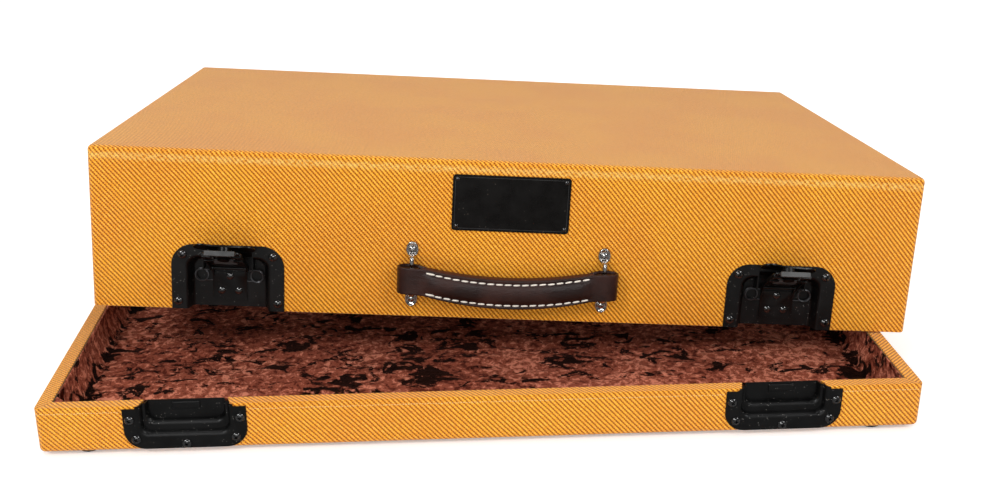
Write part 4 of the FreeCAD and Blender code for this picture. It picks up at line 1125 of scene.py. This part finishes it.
def bent_bar(points, radius):
    """A round bar through (y, z) points, closed at its ends."""
    line = bpy.data.curves.new("bar", "CURVE")
    line.dimensions = "3D"
    line.bevel_depth = radius
    line.bevel_resolution = 4
    line.resolution_u = 10
    run = line.splines.new("NURBS")
    run.points.add(len(points) - 1)
    for point, (y, z) in zip(run.points, points):
        point.co = (0, y, z, 1)
    run.order_u = 3
    run.use_endpoint_u = True
    holder = bpy.data.objects.new("bar", line)
    bar = bmesh.new()
    bar.from_mesh(bpy.data.meshes.new_from_object(holder))
    bpy.data.objects.remove(holder)
    bmesh.ops.holes_fill(bar, edges=[e for e in bar.edges if e.is_boundary])
    bmesh.ops.recalc_face_normals(bar, faces=bar.faces[:])
    return bar


def bracket_piece():
    """Round bars bent out from oval eyes that lie flat on the lid, polished all over."""
    bar_radius, collar_depth, collar_rise, collar_tilt = 2.45, -6.4, 19.2, 1.4
    down = [(-1.4, 23.0), (-1.5, 21.4), (-3.0, 20.0), (-7.5, 19.4), (BAR_DEPTH, 18.4),
            (BAR_DEPTH, 13.0)]
    points = [(y, -z) for y, z in down] + [(BAR_DEPTH, 0.0)] + down[::-1]
    whole = bmesh.new()
    bar = bent_bar(points, bar_radius)
    add_copies(whole, bar, [Matrix.Translation((way * BAR_OFFSET, 0, 0)) for way in SIDES])
    bar.free()
    eye = turned_profile([(0, 1.5), (3.9, 1.5), (4.5, 1.9), (5.1, 2.6), (5.6, 2.6), (6.0, 2.2),
                          (6.2, 1.6), (6.2, 0.0), (0, 0.0)], 36)
    oval = TO_FRONT @ Matrix.Diagonal((1.0, 1.29, 1.0, 1.0))
    add_copies(whole, eye, [Matrix.Translation((x, 0, z)) @ oval
                            for x, z in four_corners(BAR_OFFSET, EYE_RISE)])
    eye.free()
    collar = turned_profile([(0, -1.2), (2.4, -1.2), (2.9, -0.5), (3.0, 0.2), (2.8, 0.8),
                             (2.4, 1.3), (0, 1.3)], 24)
    add_copies(whole, collar, [Matrix.Translation((x, collar_depth, z))
                               @ Matrix.Rotation(math.copysign(collar_tilt, z), 4, "X")
                               for x, z in four_corners(BAR_OFFSET, collar_rise)])
    collar.free()
    piece = new_piece("handle_brackets_bent", whole, HANDLE, "lid", CHROME)
    mark_sharp(piece, 50)
    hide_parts("handle_brackets")


bracket_piece()


def plate_border():
    """A fine raised line just inside the plate's edge."""
    whole = bmesh.new()
    half_x, half_z, width = 55.2, 25.7, 0.35
    for low_x, high_x, low_z, high_z in ((-half_x, half_x, half_z - width, half_z),
                                         (-half_x, half_x, -half_z, width - half_z),
                                         (-half_x, width - half_x, -half_z, half_z),
                                         (half_x - width, half_x, -half_z, half_z)):
        strip = box_mesh((low_x, -1.32, low_z), (high_x, -1.15, high_z))
        add_copies(whole, strip, [Matrix.Translation((0, FRONT, PLATE_CENTRE))])
        strip.free()
    new_piece("name_plate_border", whole, LID, "lid", BORDER, smooth=False)


plate_border()


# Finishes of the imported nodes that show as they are

node_finish = {"tray_feet": RUBBER, "latch_pins": LATCH_BLACK, "tray_foot_screws": GLOSS,
               "tray_hinge_screws": GLOSS, "lid_hinge_screws": GLOSS}
for name, node in frame["nodes"].items():
    material = node_finish.get(name)
    if material is None and name.endswith(("wall", "panel")):
        material = BOARD
    if material:
        node.data.materials.clear()
        node.data.materials.append(material)


# Floor, light and camera

def floor_material():
    ground = Finish("studio_floor", {"Roughness": 1.0, "Specular IOR Level": 0.0})
    camera_ray = ground.out("ShaderNodeLightPath", {}, {}, "Is Camera Ray")
    mirrored = ground.out("ShaderNodeLightPath", {}, {}, "Is Glossy Ray")
    ground.set(Base_Color=ground.colour(mirrored, (0.93, 0.93, 0.93, 1.0), (0.2, 0.2, 0.2, 1.0)))
    paper = ground.out("ShaderNodeEmission", {},
                       {"Color": (1, 1, 1, 1), "Strength": camera_ray * 0.3})
    both = ground.out("ShaderNodeAddShader", {},
                      {0: Value(ground, ground.shader.outputs[0]), 1: paper})
    ground.feed(ground.tree.nodes["Material Output"].inputs["Surface"], both)
    return ground.material


ground_mesh = bmesh.new()
bmesh.ops.create_grid(ground_mesh, x_segments=1, y_segments=1, size=30.0)
ground = placed_mesh("studio_floor", ground_mesh)
ground.data.materials.append(floor_material())


def area_light(name, place, size, power):
    """A soft lamp that faces the middle of the case."""
    lamp = bpy.data.lights.new(name, "AREA")
    lamp.shape = "RECTANGLE"
    lamp.size, lamp.size_y = size
    lamp.energy = power
    holder = placed(name, lamp)
    holder.location = place
    aim = Vector((0.0, 0.0, 0.1)) - Vector(place)
    holder.rotation_euler = aim.to_track_quat("-Z", "Y").to_euler()


area_light("left_softbox", (-1.7, -2.1, 2.0), (0.8, 0.8), 33.0)
area_light("right_softbox", (1.9, -1.9, 2.0), (0.8, 0.8), 24.0)
area_light("top_softbox", (0.0, 0.7, 3.0), (2.4, 1.6), 34.5)
area_light("front_fill", (-0.3, -3.2, 0.85), (1.6, 0.5), 17.0)

world = bpy.data.worlds.new("studio")
bpy.context.scene.world = world
world.use_nodes = True
tree = world.node_tree
background = tree.nodes["Background"]
background.inputs["Color"].default_value = (1, 1, 1, 1)
path = tree.nodes.new("ShaderNodeLightPath")
strength = tree.nodes.new("ShaderNodeMath")
strength.operation = "MULTIPLY"
tree.links.new(strength.outputs[0], background.inputs["Strength"])
for term, (ray, off, on) in enumerate((("Is Camera Ray", 0.55, 1.0), ("Is Glossy Ray", 1.0, 0.2))):
    level = tree.nodes.new("ShaderNodeMapRange")
    level.inputs[3].default_value = off
    level.inputs[4].default_value = on
    tree.links.new(path.outputs[ray], level.inputs[0])
    tree.links.new(level.outputs[0], strength.inputs[term])

# The camera's turns in degrees: about the upright, down to the case and about its line of sight
CAMERA_PLACE = (-0.08612, -1.3134, 0.57666)
CAMERA_TURN, CAMERA_DOWN, CAMERA_ROLL = -4.15, 21.26, 0.34

lens = bpy.data.cameras.new("camera")
lens.lens = 43.267
lens.sensor_width = 36.0
lens.clip_end = 60.0
camera = placed("camera", lens)
turn = Matrix.Rotation(math.radians(CAMERA_TURN), 4, "Z")
turn = turn @ Matrix.Rotation(math.radians(90 - CAMERA_DOWN), 4, "X")
roll = Matrix.Rotation(math.radians(CAMERA_ROLL), 4, "Z")
camera.matrix_world = Matrix.Translation(CAMERA_PLACE) @ turn @ roll
bpy.context.scene.camera = camera
bpy.context.scene.view_settings.view_transform = "Standard"
